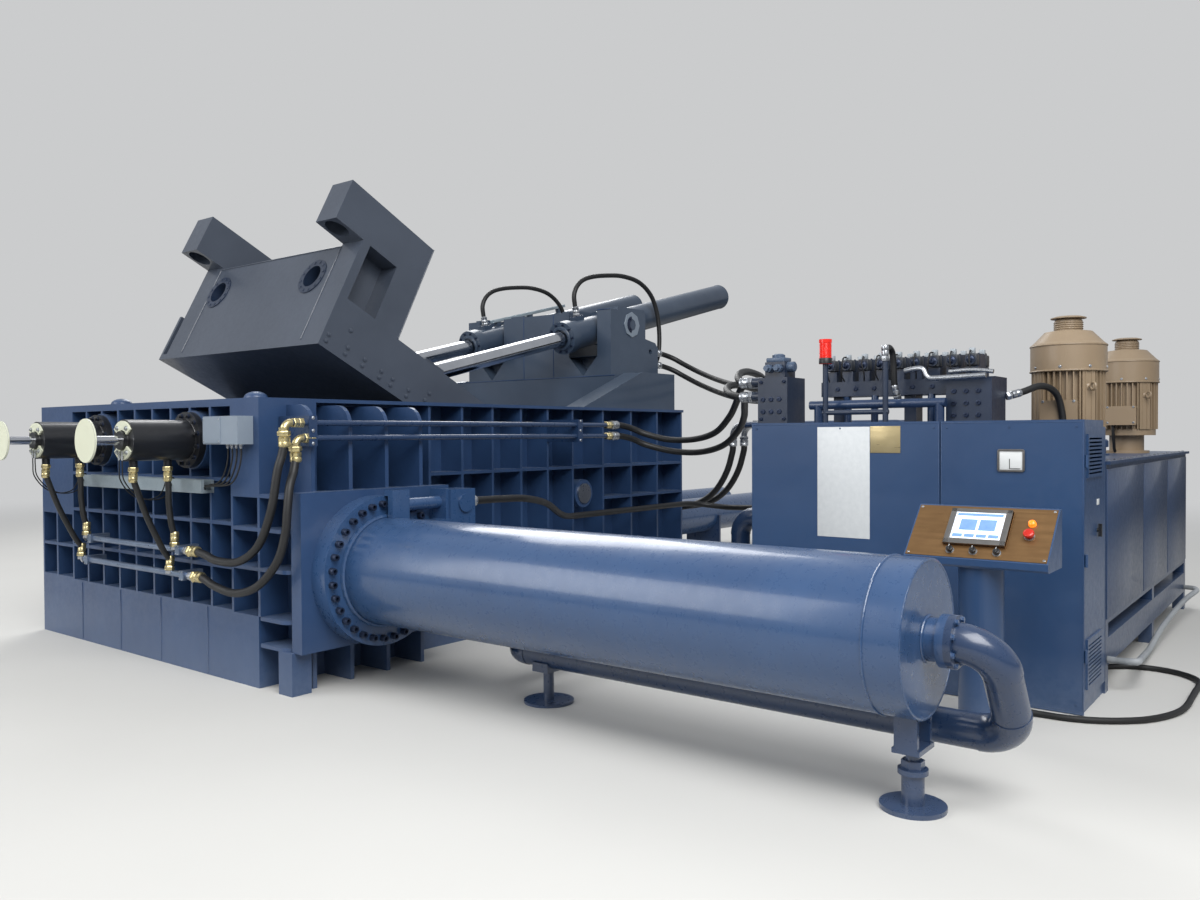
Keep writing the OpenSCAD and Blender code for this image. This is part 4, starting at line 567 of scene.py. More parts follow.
def lockRoute(x, y, row):
    # out of the port, over to the manifold and down into its top; the lower row's hoses lean to the far side
    port, top, x1 = lockCylinder["port"], manifold["z"][row] + 0.0214, manifold["inlet"]
    dx = x1 - x
    return [(x, y, port - 0.0004), (x, y, port - 0.076), (x + 0.10 * dx, y + row * 0.005, port - 0.156),
            (x + 0.42 * dx - 0.012, y + row * 0.030, (1.400 + top) / 2 + 0.020),
            (x1 - 0.16 * dx - 0.014, y + row * 0.058, top + 0.160),
            (x1, y + row * manifold["lean"], top + 0.072), (x1, y + row * manifold["lean"], top)]


def onBarrel(points, y):
    # along the tilted barrel, across it, and out of its top
    p, t = np.asarray(points, float), np.radians(lidCylinder["tilt"])
    x0, z0 = lidCylinder["at"]
    return np.stack([x0 + p[..., 0] * np.cos(t) - p[..., 2] * np.sin(t), y + p[..., 1],
                     z0 + p[..., 0] * np.sin(t) + p[..., 2] * np.cos(t)], -1)


def lidRoute(y):
    # straight out of the port on top of the tilted barrel, then over and down to the tower's ear
    out = onBarrel([(lidCylinder["port"], 0, r) for r in (0.1804, 0.240, 0.310)], y)
    return np.vstack([out, np.array(lidHoseFall) * (1, -1, 1) + (0, y, 0)])


def makeHoses():
    # rubber covers carried along their routes, fittings at both ends; each lid hose is on no body,
    # its top fitting rides on the lid barrel and its foot on the press
    groups = [("loopHoses", loopRoutes, hoses["loop"], "loop_hoses", "zincPlate"),
              ("lockHoses", [lockRoute(*port) for port in lockCylinder["ports"]], hoses["lock"], "lock_hoses",
               "zincPlate"),
              ("supplyHoses", supplyRoutes + [sidePortRoute], hoses["supply"], "supply_hoses", "brightZinc")]
    for name, routes, radius, stands, metal in groups:
        paths = [smoothPath(route) for route in routes]
        makePiece(name, [carriedAlong(p, radius) for p in paths], "hoseRubber", stands=[stands])
        makePiece(name + "Ends", bothEnds(paths, radius), metal)
    for side, y in zip(("near", "far"), lidCylinder["y"]):
        path = smoothPath(lidRoute(y))
        body, node = "lid_barrel_" + side, "lid_hose_" + side
        hose = makePiece(side + "LidHose", [carriedAlong(path, hoses["lid"])], "hoseRubber", body=None,
                         stands=[node])
        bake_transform(hose)
        makePiece(side + "LidHoseTop", hoseEnd(path, hoses["lid"]), "brightZinc", body)
        makePiece(side + "LidHoseFoot", hoseEnd(path, hoses["lid"], True), "brightZinc")
    path = smoothPath(conduitRoute, 40)
    wave = hoses["conduit"] * (1 + 0.06 * np.cos(np.arange(len(path)) * np.pi))
    makePiece("tankConduit", [carriedAlong(path, wave, 10)], "conduitGreyPlastic")
    print("hoses")


makeHoses()

mainHoses = {"x": (5.110, 5.340), "y": -0.460, "top": 1.690, "radius": 0.032, "pipe": 0.030, "bend": 0.120,
             "block": (0.735, 0.930), "port": 0.800, "back": -2.280, "lid": 1.420,
             "sag": [(0, 0), (0.080, 0), (0.170, 0.001), (0.330, 0.006), (0.520, 0.020), (0.700, 0.052),
                     (0.860, 0.115), (0.985, 0.210), (1.075, 0.325), (1.140, 0.450), (1.178, 0.570)]}


def makeMainHoses():
    # port blocks on the two main cylinders with a cross pipe between them, two thick hoses down from plated
    # elbows, whose quarter circles are (cos, sin) of the bend, and the steel pipes from the tank's lid
    m, zinc, paths = mainHoses, [], []
    (near, far), low, top, bend = m["block"], m["y"], m["top"], m["bend"]
    high, back, lid = top - bend, m["back"], m["lid"]
    navy = [softBox((5.030, near, 0.700), (5.420, far, 0.870), 0.006),
            softBox((5.120, 1.785, 0.700), (5.320, 1.980, 0.870), 0.006),
            drum((5.220, far - 0.010, m["port"]), away, 0.028, 0.870, 28)]
    quarter = np.linspace(0, np.pi / 2, 10)
    over, rise = bend * np.cos(quarter), bend * np.sin(quarter)
    for x in m["x"]:
        route = [(x, near - d, m["port"] + h) for d, h in m["sag"]]
        paths += [smoothPath(route + [(x, low, high - d) for d in (0.130, 0.070, 0)])]
        elbow = np.stack([x + 0 * over, low - bend + over, high + rise], -1)
        drop = np.stack([x + 0 * over, back + bend - over[::-1], high + rise[::-1]], -1)
        zinc += bothEnds(paths[-1:], m["radius"])
        zinc += [carriedAlong(elbow, 0.0315, 20), drum((x, low - 0.118, top), toward, 0.050, 0.030, 6)]
        navy += [carriedAlong(np.vstack([[(x, low - 0.130, top)], drop, [(x, back, lid)]]), m["pipe"], 20),
                 drum((x, back, lid - 0.001), up, 0.062, 0.016, 28)]
        zinc += inRing(hexScrew, (x, back, lid + 0.015), up, 0.048, 4, 0.007)
    rubber = [carriedAlong(path, m["radius"], 18) for path in paths]
    makePieces([("mainHoses", rubber, "hoseRubber"), ("mainHoseEnds", zinc, "brightZinc")])
    makePiece("mainPipes", navy, "cylinderNavyEnamel")
    print("main cylinders' hoses")


makeMainHoses()

sideBarrel = {"x": 0.572, "z": 0.732, "radius": 0.341, "end": -4.025, "flange": -0.535, "pitch": 0.432}


def makeSideCylinderTrim():
    # socket screws on the flange's pitch circle, weld beads round the barrel, screws of the pipe's flange
    b = sideBarrel
    x, z, end, flange = b["x"], b["z"], b["end"], b["flange"]
    screws = inRing(socketScrew, (x, flange, z), toward, b["pitch"], 32, 0.0215, 0.038)
    bolts = "side_flange_bolts"
    makePiece("flangeScrews", screws, "blackOxideSteel", stands=[bolts])
    seams = [(end + 0.155, b["radius"], 0.006, 180), (end + 0.004, b["radius"] - 0.008, 0.007, 160),
             (flange - 0.004, b["radius"] + 0.006, 0.016, 150), (end - 0.002, 0.096, 0.007, 60)]
    beads = [ringBead((x, y, z), away, *size) for y, *size in seams]
    makePiece("barrelWelds", beads, "barrelGlossEnamel")
    ports = inRing(hexScrew, (x, end - 0.125, z), toward, 0.098, 8, 0.012, 0.9)
    makePiece("pipeFlangeScrews", ports, "barrelGlossEnamel")
    print("side cylinder trim")


makeSideCylinderTrim()

lid = {"hinge": (3.280, 1.070), "open": 27, "armFace": 0.350, "armWidth": 0.240, "farSeam": 2.240,
       "front": 0.445, "back": 1.055, "low": 0.954, "arm": 1.360, "top": 1.820, "ring": 0.437, "pitch": 0.126,
       "columns": (0.495, 0.680, 0.851, 1.026, 1.146, 1.320), "rows": (1.060, 1.008),
       "single": ((0.648, 1.187), (1.500, 1.070), (1.520, 1.140))}


def onLid(points):
    # closed-lid places turned open about the hinge: x' = x cos + z sin, z' = z cos - x sin
    p = np.asarray(points, float)
    c, s = np.cos(np.radians(lid["open"])), np.sin(np.radians(lid["open"]))
    x, z = p[..., 0] - lid["hinge"][0], p[..., 2] - lid["hinge"][1]
    return np.stack([lid["hinge"][0] + x * c + z * s, p[..., 1], lid["hinge"][1] - x * s + z * c], -1)


def makeLidTrim():
    # screws on the near arm's face and round the lock sleeves, weld seams along the shell's edges
    y, front, top, low = lid["armFace"], lid["front"], lid["top"], lid["low"] + 0.050
    places = [*product(lid["columns"], lid["rows"]), *lid["single"]]
    screws = [s for x, z in places for s in hexScrew((x, y, z), toward, 0.016, 0.35)]
    rings = [s for sleeve in lockCylinder["y"] for s in
             inRing(hexScrew, (lid["ring"], sleeve, lockCylinder["z"]), left, lid["pitch"], 12, 0.0105, 0.26)]
    seam, inner, outer = front - 0.002, y + lid["armWidth"], lid["farSeam"]
    lines = [((lid["back"], y, lid["arm"]), (lid["back"], y, 2.185)),
             ((front - 0.270, y, 1.850), (front, y, 1.850)),
             ((seam, inner, low), (seam, inner, top)), ((seam, outer, low), (seam, outer, top)),
             ((seam, inner, top), (seam, outer, top))]
    beads = [weldBead(*line, 0.005, 24) for line in lines]
    makePiece("lidScrews", moved(screws, onLid), "lidGreyBlueEnamel", "lid")
    makePiece("lidRingScrews", moved(rings, onLid), "valveDarkEnamel", "lid")
    makePiece("lidWelds", moved(beads, onLid), "lidGreyBlueEnamel", "lid")
    print("lid trim")


makeLidTrim()


def makeBoxTrim():
    # weld seams on the skirt plates, the deck's edge and the tower, screws on the lock cylinders' flanges
    seams = [((-0.001, y, 0.010), (-0.001, y, 0.456)) for y in (0.62, 1.24, 1.83, 2.45)]
    seams += [((x, 0.019, 0.010), (x, 0.019, 0.456)) for x in (1.9, 2.9, 3.9)]
    seams += [((4.249, y, 2.20), (4.249, y, 2.86)) for y in (1.20, 1.62)]
    seams += [((4.179, 0.345, 2.188), (4.179, 2.575, 2.188)), ((4.249, 0.45, 2.862), (4.249, 0.61, 2.862))]
    makePiece("boxWelds", [weldBead(*seam, 0.0045, 30) for seam in seams], "boxBlueEnamel")
    bolts = [s for y in lockCylinder["y"]
             for s in inRing(hexScrew, (-0.045, y, lockCylinder["z"]), left, 0.165, 12, 0.0135)]
    makePiece("lockFlangeScrews", bolts, "blackOxideSteel")
    print("box trim")


makeBoxTrim()

# Behind each lock cylinder: end face, gland ring, nuts' circle, rod and disc, and a switch lead's fall whose
# sideways steps are shares of its sway
lockGland = {"face": -0.460, "ring": (0.066, 0.126, 0.012), "nuts": 0.098, "nutAngles": (52, 128, 232, 308),
             "rod": 0.0302, "disc": -0.6898, "switches": ((-0.020, 0.07), (0.020, 0.10)),
             "welds": ((-0.047, 0.139, 0.005, 90), (-0.462, 0.061, 0.003, 60)),
             "lead": [(0, 0, 0), (0, 0, -0.045), (0.020, 0.3, -0.130), (0.110, 0.8, -0.225),
                      (0.220, 1.1, -0.268), (0.330, 1.4, -0.252), (0.388, 1.7, -0.180), (0.406, 2.0, -0.128),
                      (0.432, 2.3, -0.150), (0.436, 2.8, -0.180)]}


def makeLockTrim():
    # gland crescents with their nuts at y + r cos a, z - r sin a, weld at the flange, two proximity switches
    # with leads, chrome rod, pale disc
    g, z = lockGland, lockCylinder["z"]
    sensor = [(0, 0), (0.0065, 0), (0.0075, 0.002), (0.0075, 0.058), (0, 0.058)]
    rim = [(0, 0), (0.1365, 0), (0.1385, 0.002), (0.1385, 0.0105), (0.1368, 0.0124), (0, 0.0124)]
    for side, y in zip(("near", "far"), lockCylinder["y"]):
        plates = [arcPlate((g["face"], y, z), left, *g["ring"], a, 56) for a in (90, 270)]
        angles, metal = np.radians(g["nutAngles"]), []
        for across, drop in g["nuts"] * np.stack([np.cos(angles), np.sin(angles)], -1):
            metal += hexScrew((g["face"] - 0.012, y + across, z - drop), left, 0.012, 0.8)
        leads = []
        for dy, sway in g["switches"]:
            at = np.array((-0.4805, y + dy, z - 0.128))
            metal += [turned(at, up, sensor, 14), drum(at + (0, 0, 0.024), up, 0.0105, 0.006, 6)]
            leads += [carriedAlong(smoothPath(at + np.array(g["lead"]) * (1, sway, 1)), 0.0042, 8)]
        beads = [ringBead((x, y, z), left, *size) for x, *size in g["welds"]]
        makePieces([("glandPlates", plates, "discPaleEnamel"), ("lockNuts", metal, "brightZinc"),
                    ("switchLeads", leads, "sheathRubber"), ("lockWelds", beads, "lockBlackEnamel")],
                   end=side.capitalize())
        rod = drum((g["disc"] + 0.0003, y, z), right, g["rod"], 0.300, 40)
        disc = turned((g["disc"], y, z), left, rim, 64)
        makePieces([("lockRod", [rod], "hardChrome"), ("lockDisc", [disc], "discPaleEnamel")],
                   side + "_lock_pin", side.capitalize())
    print("lock cylinders")


makeLockTrim()


def makePipeTrim():
    # plated quarter-circle elbows and union nuts on the two side pipes, nuts and bosses on the manifold, and
    # the screws in all clamps
    y, end, bend = sidePipe["y"], sidePipe["end"], sidePipe["bend"]
    union = [(0, 0), (0.0300, 0), (0.0325, 0.003), (0.0325, 0.030), (0.0300, 0.033), (0, 0.033)]
    quarter = np.linspace(0, np.pi / 2, 14)
    nuts = []
    for start, z in zip(sidePipe["start"], sidePipe["z"]):
        over, drop = bend * np.sin(quarter), bend * (1 - np.cos(quarter))
        elbow = np.stack([start - over, y + 0 * quarter, z - drop], -1)
        nuts += [carriedAlong(elbow, 0.0247, 24)]
        nuts += [drum((start - bend, y, z - bend - 0.0005), up, 0.0300, 0.022, 6)]
        nuts += [turned((x, y, z), right, union, 6)
                 for x in (start + 0.012, start + 0.049, end - 0.066, end - 0.034)]
    makePiece("sidePipeFittings", nuts, "zincPlate")
    screws = inRows(hexScrew, (0.170, 2.811), y - 0.030, (1.552, 1.632, 1.712), toward, 0.009)
    makePiece("sideClampScrews", screws, "brightZinc")
    x, ends = manifold["x"], []
    union = [(0, 0), (0.029, 0), (0.031, 0.003), (0.031, 0.030), (0.026, 0.033), (0.026, 0.060), (0, 0.060)]
    for (y0, y1), z in zip(manifold["y"], manifold["z"]):
        ends += [turned((x, y0 - 0.0002, z), away, union, 6)]
        ends += [drum((x, y1 + 0.0002, z), toward, 0.028, 0.026, 6)]
        clamps = [clamp + d for clamp in (y0 + 0.110, y1 - 0.110) for d in (-0.016, 0.016)]
        ends += inRows(socketScrew, x - 0.032, clamps, (z - 0.0265, z + 0.0265), left, 0.0048, 0.005)
    inlet, lean, boss = manifold["inlet"], manifold["lean"], manifold["boss"]
    ends += [drum((inlet, y + row * lean, manifold["z"][row]), up, 0.0245, boss)
             for x, y, row in lockCylinder["ports"]]
    makePiece("manifoldFittings", ends, "brightZinc")
    print("pipes")


makePipeTrim()

barrelTrim = {"head": -0.710, "headPitch": 0.138, "channel": (-0.300, 0.960), "pads": (-0.220, 0.330, 0.860),
              "welds": ((-0.598, 0.146, 0.005), (-0.097, 0.148, 0.005), (0.097, 0.148, 0.005),
                        (2.400, 0.1445, 0.004))}


def makeLidCylinderTrim():
    # head bolts, welds, port screws; measuring channel on the far barrel; plates that keep the trunnions
    b, port, (px, pz) = barrelTrim, lidCylinder["port"], lidCylinder["at"]
    collar = [(0.0905, 0), (0.118, 0), (0.118, 0.010), (0.112, 0.016), (0.0905, 0.016)]
    keeper = [(0.0615, 0), (0.132, 0), (0.132, 0.009), (0.129, 0.012), (0.0615, 0.012)]
    for side, y, s, facing in zip(("near", "far"), lidCylinder["y"], (-1, 1), (0, 180)):
        end, out, face = side.capitalize(), (0, s, 0), y + s * 0.360
        bolts = inRing(socketScrew, (b["head"], 0, 0), left, b["headPitch"], 10, 0.012, 0.012, first=0)
        bolts += inRows(socketScrew, (port - 0.042, port + 0.042), (-0.030, 0.030), 0.180, up, 0.008, 0.008)
        welds = [ringBead((d, 0, 0), right, r, bead, 90) for d, r, bead in b["welds"]]
        welds += [turned((b["head"], 0, 0), left, collar, 40)]
        makePieces([("barrelHeadScrews", moved(bolts, onBarrel, y), "blackOxideSteel"),
                    ("lidBarrelWelds", moved(welds, onBarrel, y), "towerGreyBlueEnamel")],
                   "lid_barrel_" + side, end)
        keep = [arcPlate((px, face + s * 0.012, pz), out, 0.048, 0.086, 0.009, facing, 75)]
        keep += [q for a in np.radians((-50, 50)) for q in
                 hexScrew((px - 0.068 * np.cos(a), face + s * 0.021, pz + 0.068 * np.sin(a)), out, 0.010)]
        makePieces([("trunnionPlate", [turned((px, face, pz), out, keeper, 8)], "junctionGreyEnamel"),
                    ("trunnionKeeper", keep, "blackOxideSteel")], end=end)
    start, stop = b["channel"]
    channel = [softBox((start, -0.030, 0.188), (stop, 0.030, 0.192), 0.001),
               softBox((start, -0.030, 0.188), (stop, -0.026, 0.220), 0.001),
               softBox((start, 0.026, 0.188), (stop, 0.030, 0.220), 0.001)]
    pads = [softBox((d - 0.030, -0.025, 0.140), (d + 0.030, 0.025, 0.189), 0.003) for d in b["pads"]]
    far = lidCylinder["y"][1]
    makePieces([("measuringChannel", moved(channel, onBarrel, far), "galvanisedSheet"),
                ("channelPads", moved(pads, onBarrel, far), "towerGreyBlueEnamel")],
               "lid_barrel_far")
    print("lid cylinders")


makeLidCylinderTrim()


def makeBoxCables():
    # cover screws and glands of the junction box, its leads into the tray, wiring lying in the tray
    thin = 0.0052
    gland = [(0, 0), (0.014, 0), (0.014, 0.010), (0.0115, 0.012), (0.0115, 0.022), (0.0065, 0.028),
             (0, 0.028)]
    metal = inRows(socketScrew, -0.118, (0.262, 0.438), (1.568, 1.708), left, 0.005, 0.004)
    leads = []
    for k, y in enumerate((0.110, 0.160, 0.210, 0.260)):
        metal += [turned((-0.055, y, 1.549), down, gland, 16)]
        low, q = 1.272 + 0.004 * k, -0.070 + 0.010 * k
        route = [(-0.055, y, 1.530), (-0.055, y, 1.470), (-0.058, y + 0.020, 1.395),
                 (-0.062, y + 0.070, 1.320), (-0.064, y + 0.150, 1.285), (q + 0.004, 0.480, low),
                 (q, 0.560, low - 0.012), (q, 0.720, low - 0.018), (q - 0.002, 1.050, low - 0.018)]
        leads += [carriedAlong(smoothPath(route), thin, 8)]
    y = np.linspace(0.560, 2.200, 18)
    for k, q in enumerate((-0.062, -0.049, -0.036)):
        path = np.stack([q + 0.005 * np.sin(y * 5 + k), y, 1.251 + 0.002 * np.cos(y * 7 + 2 * k)], -1)
        leads += [carriedAlong(smoothPath(path), thin, 8)]
    makePieces([("junctionScrews", metal, "brightZinc"), ("junctionLeads", leads, "sheathRubber")])
    print("junction box")


makeBoxCables()

# The lead's fall has its sideways steps as shares of its sway
valves = {"x": 2.900, "first": -2.590, "pitch": 0.118, "count": 9, "axis": 2.060, "coil": 0.104,
          "half": 0.034,
          "nut": [(0, 0), (0.024, 0), (0.024, 0.012), (0.016, 0.016), (0.016, 0.030), (0.012, 0.034),
                  (0, 0.034)],
          "gland": [(0, 0), (0.010, 0), (0.010, 0.010), (0.008, 0.012), (0.008, 0.018), (0, 0.018)],
          "lead": [(0, 0, 0), (0.030, 1, -0.006), (0.052, 1, -0.050), (0.042, 2, -0.120), (0.012, 1, -0.165)]}


def makeValveTrim():
    # solenoid coils on both ends of every valve, a plug with its lead on each, screws on the bodies
    v, metal, coils, plugs, leads = valves, [], [], [], []
    mid, axis, half = v["x"], v["axis"], v["half"]
    for k in range(v["count"]):
        y, sway = v["first"] - v["pitch"] * k, 0.012 * np.sin(k * 2.3)
        for side in (-1, 1):
            x, out, plug = mid + side * v["coil"], (side, 0, 0), axis + 0.056
            low, high = (x - half, y - 0.036, axis - 0.036), (x + half, y + 0.036, axis + 0.038)
            coils += [softBox(low, high, 0.006)]
            metal += [turned((x + side * half, y, axis), out, v["nut"], 16)]
            low, high = (x - 0.018, y - 0.017, axis + 0.038), (x + 0.018, y + 0.017, axis + 0.076)
            plugs += [softBox(low, high, 0.005), turned((x + side * 0.018, y, plug), out, v["gland"], 12)]
            fall = np.array((x + side * half, y, plug)) + np.array(v["lead"]) * (side, sway, 1)
            leads += [carriedAlong(smoothPath(fall), 0.0048, 8)]
        for dx, dy, z, size in ((0.048, 0.022, 2.100, 0.0065), (0.0648, 0.026, 2.020, 0.006)):
            metal += inRows(socketScrew, (mid - dx, mid + dx), (y - dy, y + dy), z, up, size, 0.006)
    makePieces([("valveCoils", coils, "coilGreyPlastic"), ("valveNuts", metal, "blackOxideSteel"),
                ("valvePlugs", plugs, "plugClearPlastic"), ("valveLeads", leads, "sheathRubber")])
    print("valves")


makeValveTrim()

# Each pipe as its radius and route
bankPipes = {
    "navy": [(0.030, [(2.640, -2.500, 1.790), (2.640, -2.960, 1.790), (2.640, -3.420, 1.790)]),
             (0.024, [(2.800, -2.700, 1.672), (2.800, -2.700, 1.760), (2.790, -2.700, 1.850)]),
             (0.024, [(2.780, -2.900, 1.672), (2.780, -2.900, 1.760), (2.790, -2.900, 1.850)]),
             (0.024, [(2.780, -3.280, 1.672), (2.780, -3.280, 1.760), (2.790, -3.280, 1.850)]),
             (0.030, [(2.640, -2.560, 1.672), (2.640, -2.560, 1.790)]),
             (0.030, [(2.640, -3.380, 1.672), (2.640, -3.380, 1.790)])],
    "bright": [(0.017, [(2.660, -3.150, 2.000), (2.655, -3.260, 2.010), (2.650, -3.300, 1.955),
                        (2.650, -3.360, 1.945), (2.650, -3.660, 1.952)]),
               (0.014, [(2.700, -3.420, 1.985), (2.700, -3.560, 1.990), (2.700, -3.690, 1.975)])],
    "hose": [(0.020, [(2.510, -3.080, 2.060), (2.510, -3.080, 2.105), (2.535, -3.080, 2.140),
                      (2.580, -3.080, 2.146), (2.625, -3.080, 2.120), (2.645, -3.080, 2.060),
                      (2.655, -3.080, 1.980), (2.670, -3.080, 1.900), (2.700, -3.090, 1.820)]),
             (0.022, [(3.020, -3.680, 1.830), (3.100, -3.760, 1.860), (3.240, -3.840, 1.900),
                      (3.360, -3.900, 1.850), (3.400, -3.930, 1.700), (3.400, -3.930, 1.500),
                      (3.400, -3.930, 1.430)])],
}


def makeBankPipes():
    # pipes and hoses carried along their routes, port plugs and flange screws on the end blocks, and the
    # turned caps on the near block
    for kind, look in (("navy", "cylinderNavyEnamel"), ("bright", "brightZinc"), ("hose", "hoseRubber")):
        shapes = [carriedAlong(smoothPath(route), radius) for radius, route in bankPipes[kind]]
        makePiece("bank" + kind.capitalize() + "Pipes", shapes, look)
    ends = [s for radius, route in bankPipes["hose"] for s in bothEnds([smoothPath(route)], radius * 0.85)]
    makePiece("bankHoseEnds", ends, "brightZinc")
    front, side = powerUnit["front"] + 0.060, powerUnit["left"]
    three = np.arange(3)
    rows = [(front, side - 0.055 - 0.062 * three, (1.750, 1.835), 0.017, 0.008),
            (front, (side - 0.040, side - 0.215), (1.700, 1.955), 0.012, 0.012),
            (2.700, -3.450 - 0.075 * three, 1.710 + 0.075 * three, 0.015, 0.010),
            (2.770, -2.640 - 0.130 * np.arange(8), 1.900, 0.015, 0.008)]
    plugs = [s for xs, ys, zs, *size in rows for s in inRows(socketScrew, xs, ys, zs, left, *size)]
    makePiece("blockPlugs", plugs, "blackOxideSteel")
    union = [(0, 0), (0.030, 0), (0.030, 0.030), (0.020, 0.034), (0.020, 0.060), (0, 0.060)]
    caps = [turned((front + 0.100, side - 0.125, 2.095), up,
                   [(0, 0), (0.045, 0), (0.045, 0.050), (0.030, 0.058), (0, 0.058)], 20),
            turned((front + 0.100, side - 0.175, 2.060), toward,
                   [(0, 0), (0.036, 0), (0.036, 0.070), (0.028, 0.076), (0, 0.076)], 18),
            turned((front + 0.040, side - 0.085, 2.050), left, union, 6),
            turned((front + 0.040, side - 0.160, 2.050), left, union, 6),
            softBox((front + 0.045, side - 0.195, 2.095), (front + 0.155, side - 0.055, 2.125), 0.006)]
    makePiece("blockTop", caps, "blockPaleEnamel")
    print("valve pipes")


makeBankPipes()

motors = {"at": ((3.700, -3.900), (5.700, -3.930)), "nodes": ("motor_front", "motor_rear"), "radius": 0.230,
          "cowl": 2.005, "eyebolt": 1.900,
          "cap": [(0, 0), (0.112, 0), (0.112, 0.006), (0.080, 0.016), (0, 0.018)],
          "boss": [(0, 0), (0.022, 0), (0.022, 0.006), (0.012, 0.012), (0.012, 0.024), (0, 0.024)],
          "lead": [(0, 0, 0), (0, 0, -0.060), (0.030, 0, -0.150), (0.080, 0, -0.225),
                   (0.120, -0.030, -0.245)]}


def makeMotorTrim():
    # cowl band, intake rings round the cap, screws, eyebolts and the terminal box's lid screws
    shapes, metal, r, z = [], [], motors["radius"] + 0.008, motors["cowl"]
    cap, boss = motors["cap"], motors["boss"]
    for k, (x, y) in enumerate(motors["at"]):
        shapes += [ringBead((x, y, z + h), up, ring, bead, count, 0) for h, ring, bead, count in
                   ((0.006, r, 0.006, 90), (0.178, r - 0.001, 0.006, 90),
                    *((h, 0.089, 0.004, 60) for h in (0.296, 0.310, 0.324, 0.338)))]
        shapes += [turned((x, y, z + 0.366), up, cap, 40)]
        for a in np.arange(8) * np.pi / 4:
            out = (np.cos(a), np.sin(a), 0)
            metal += hexScrew((x + r * out[0], y + r * out[1], z + 0.030), out, 0.008)
        metal += inRows(hexScrew, x - r - 0.050, (y - 0.095, y + 0.095), (1.674, 1.802), left, 0.007)
        for a in (np.pi * 0.25, np.pi * 1.25):
            out = np.array((np.cos(a), np.sin(a), 0))
            foot = np.array((x, y, motors["eyebolt"])) + out * (r - 0.012)
            shapes += [turned(foot, out, boss, 16)]
            shapes += [ringBead(foot + out * 0.046, (-out[1], out[0], 0), 0.024, 0.008, 28, 0)]
        lead = np.array((x - r - 0.002, y + 0.060, 1.665)) + motors["lead"]
        makePiece("motorLead%d" % (k + 1), [carriedAlong(smoothPath(lead), 0.012, 12)], "sheathRubber")
    makePieces([("motorTrim", shapes, "motorBeigeEnamel"), ("motorScrews", metal, "brightZinc")])
    print("motors")


makeMotorTrim()

unitTrim = {"meter": (-3.860, 1.435), "meterHalf": (0.070, 0.060),
            "panels": ((-3.438, -2.156), (-4.244, -3.456)),
            "panelScrews": (-2.190, -2.800, -3.410, -3.490, -3.850, -4.210),
            "tankPanels": ((3.075, 4.375), (4.405, 5.520), (5.550, 6.640)), "lid": 1.420,
            "covers": ((4.700, -2.700), (6.050, -2.700)), "filler": (4.750, -3.900)}


def sheetOn(x, low, high, thick=0.003):
    # a thin plate riding on the panel's face, its low and high corners as (y, z)
    return softBox((x - thick, *low), (x + 0.001, *high), 0.001)


def makeCabinetTrim():
    # bare sign and rating plates, the meter, folded edges and screws of the panels, the door's label
    x, u = powerUnit["front"], unitTrim
    (y0, z0), (halfY, halfZ) = u["meter"], u["meterHalf"]
    sign = [sheetOn(x, (-3.000, 0.920), (-2.640, 1.640), 0.002)]
    rating = [sheetOn(x, (-3.200, 1.473), (-3.004, 1.643)),
              *inRows(socketScrew, x - 0.003, (-3.190, -3.014), (1.483, 1.633), left, 0.003, 0.002)]
    makePieces([("signPlate", sign, "signWhiteVinyl"), ("ratingPlate", rating, "brassPlate")])
    bars = [((y0 - halfY, z0 + s * halfZ - 0.006), (y0 + halfY, z0 + s * halfZ + 0.006)) for s in (-1, 1)]
    bars += [((y0 + s * halfY - 0.006, z0 - halfZ), (y0 + s * halfY + 0.006, z0 + halfZ)) for s in (-1, 1)]
    surround = [softBox((x - 0.010, *low), (x, *high), 0.002) for low, high in bars]
    face = sheetOn(x, (y0 - 0.066, z0 - 0.056), (y0 + 0.066, z0 + 0.056), 0.005)
    needle = [softBox((x - 0.0065, y0 - 0.052, z0 - 0.050), (x - 0.0045, y0 + 0.010, z0 - 0.046), 0.0005),
              softBox((x - 0.0065, y0 + 0.006, z0 - 0.050), (x - 0.0045, y0 + 0.010, z0 + 0.010), 0.0005)]
    upright = [((y - 0.002, 0.020), (y + 0.002, 1.660)) for y in (-2.156, -3.438, -3.456, -4.244)]
    level = [((a, z - 0.002), (b, z + 0.002)) for a, b in u["panels"] for z in (0.022, 1.658)]
    folds = [softBox((x - 0.0015, *low), (x + 0.002, *high), 0.0008) for low, high in upright + level]
    heads = inRows(socketScrew, x - 0.0005, u["panelScrews"], (0.060, 1.630), left, 0.006, 0.0035)
    makePieces([("meterFrame", surround, "bezelGreyPlastic"), ("meterFace", [face], "meterWhiteEnamel"),
                ("meterMarks", needle, "knobBlackPlastic"), ("panelFolds", folds, "cabinetSatinEnamel"),
                ("panelScrews", heads, "cabinetSatinEnamel")])
    side = powerUnit["right"]
    label = softBox((2.790, side - 0.0025, 1.170), (2.850, side + 0.001, 1.205), 0.0008)
    makePiece("doorLabel", [label], "meterWhiteEnamel", "side_door")


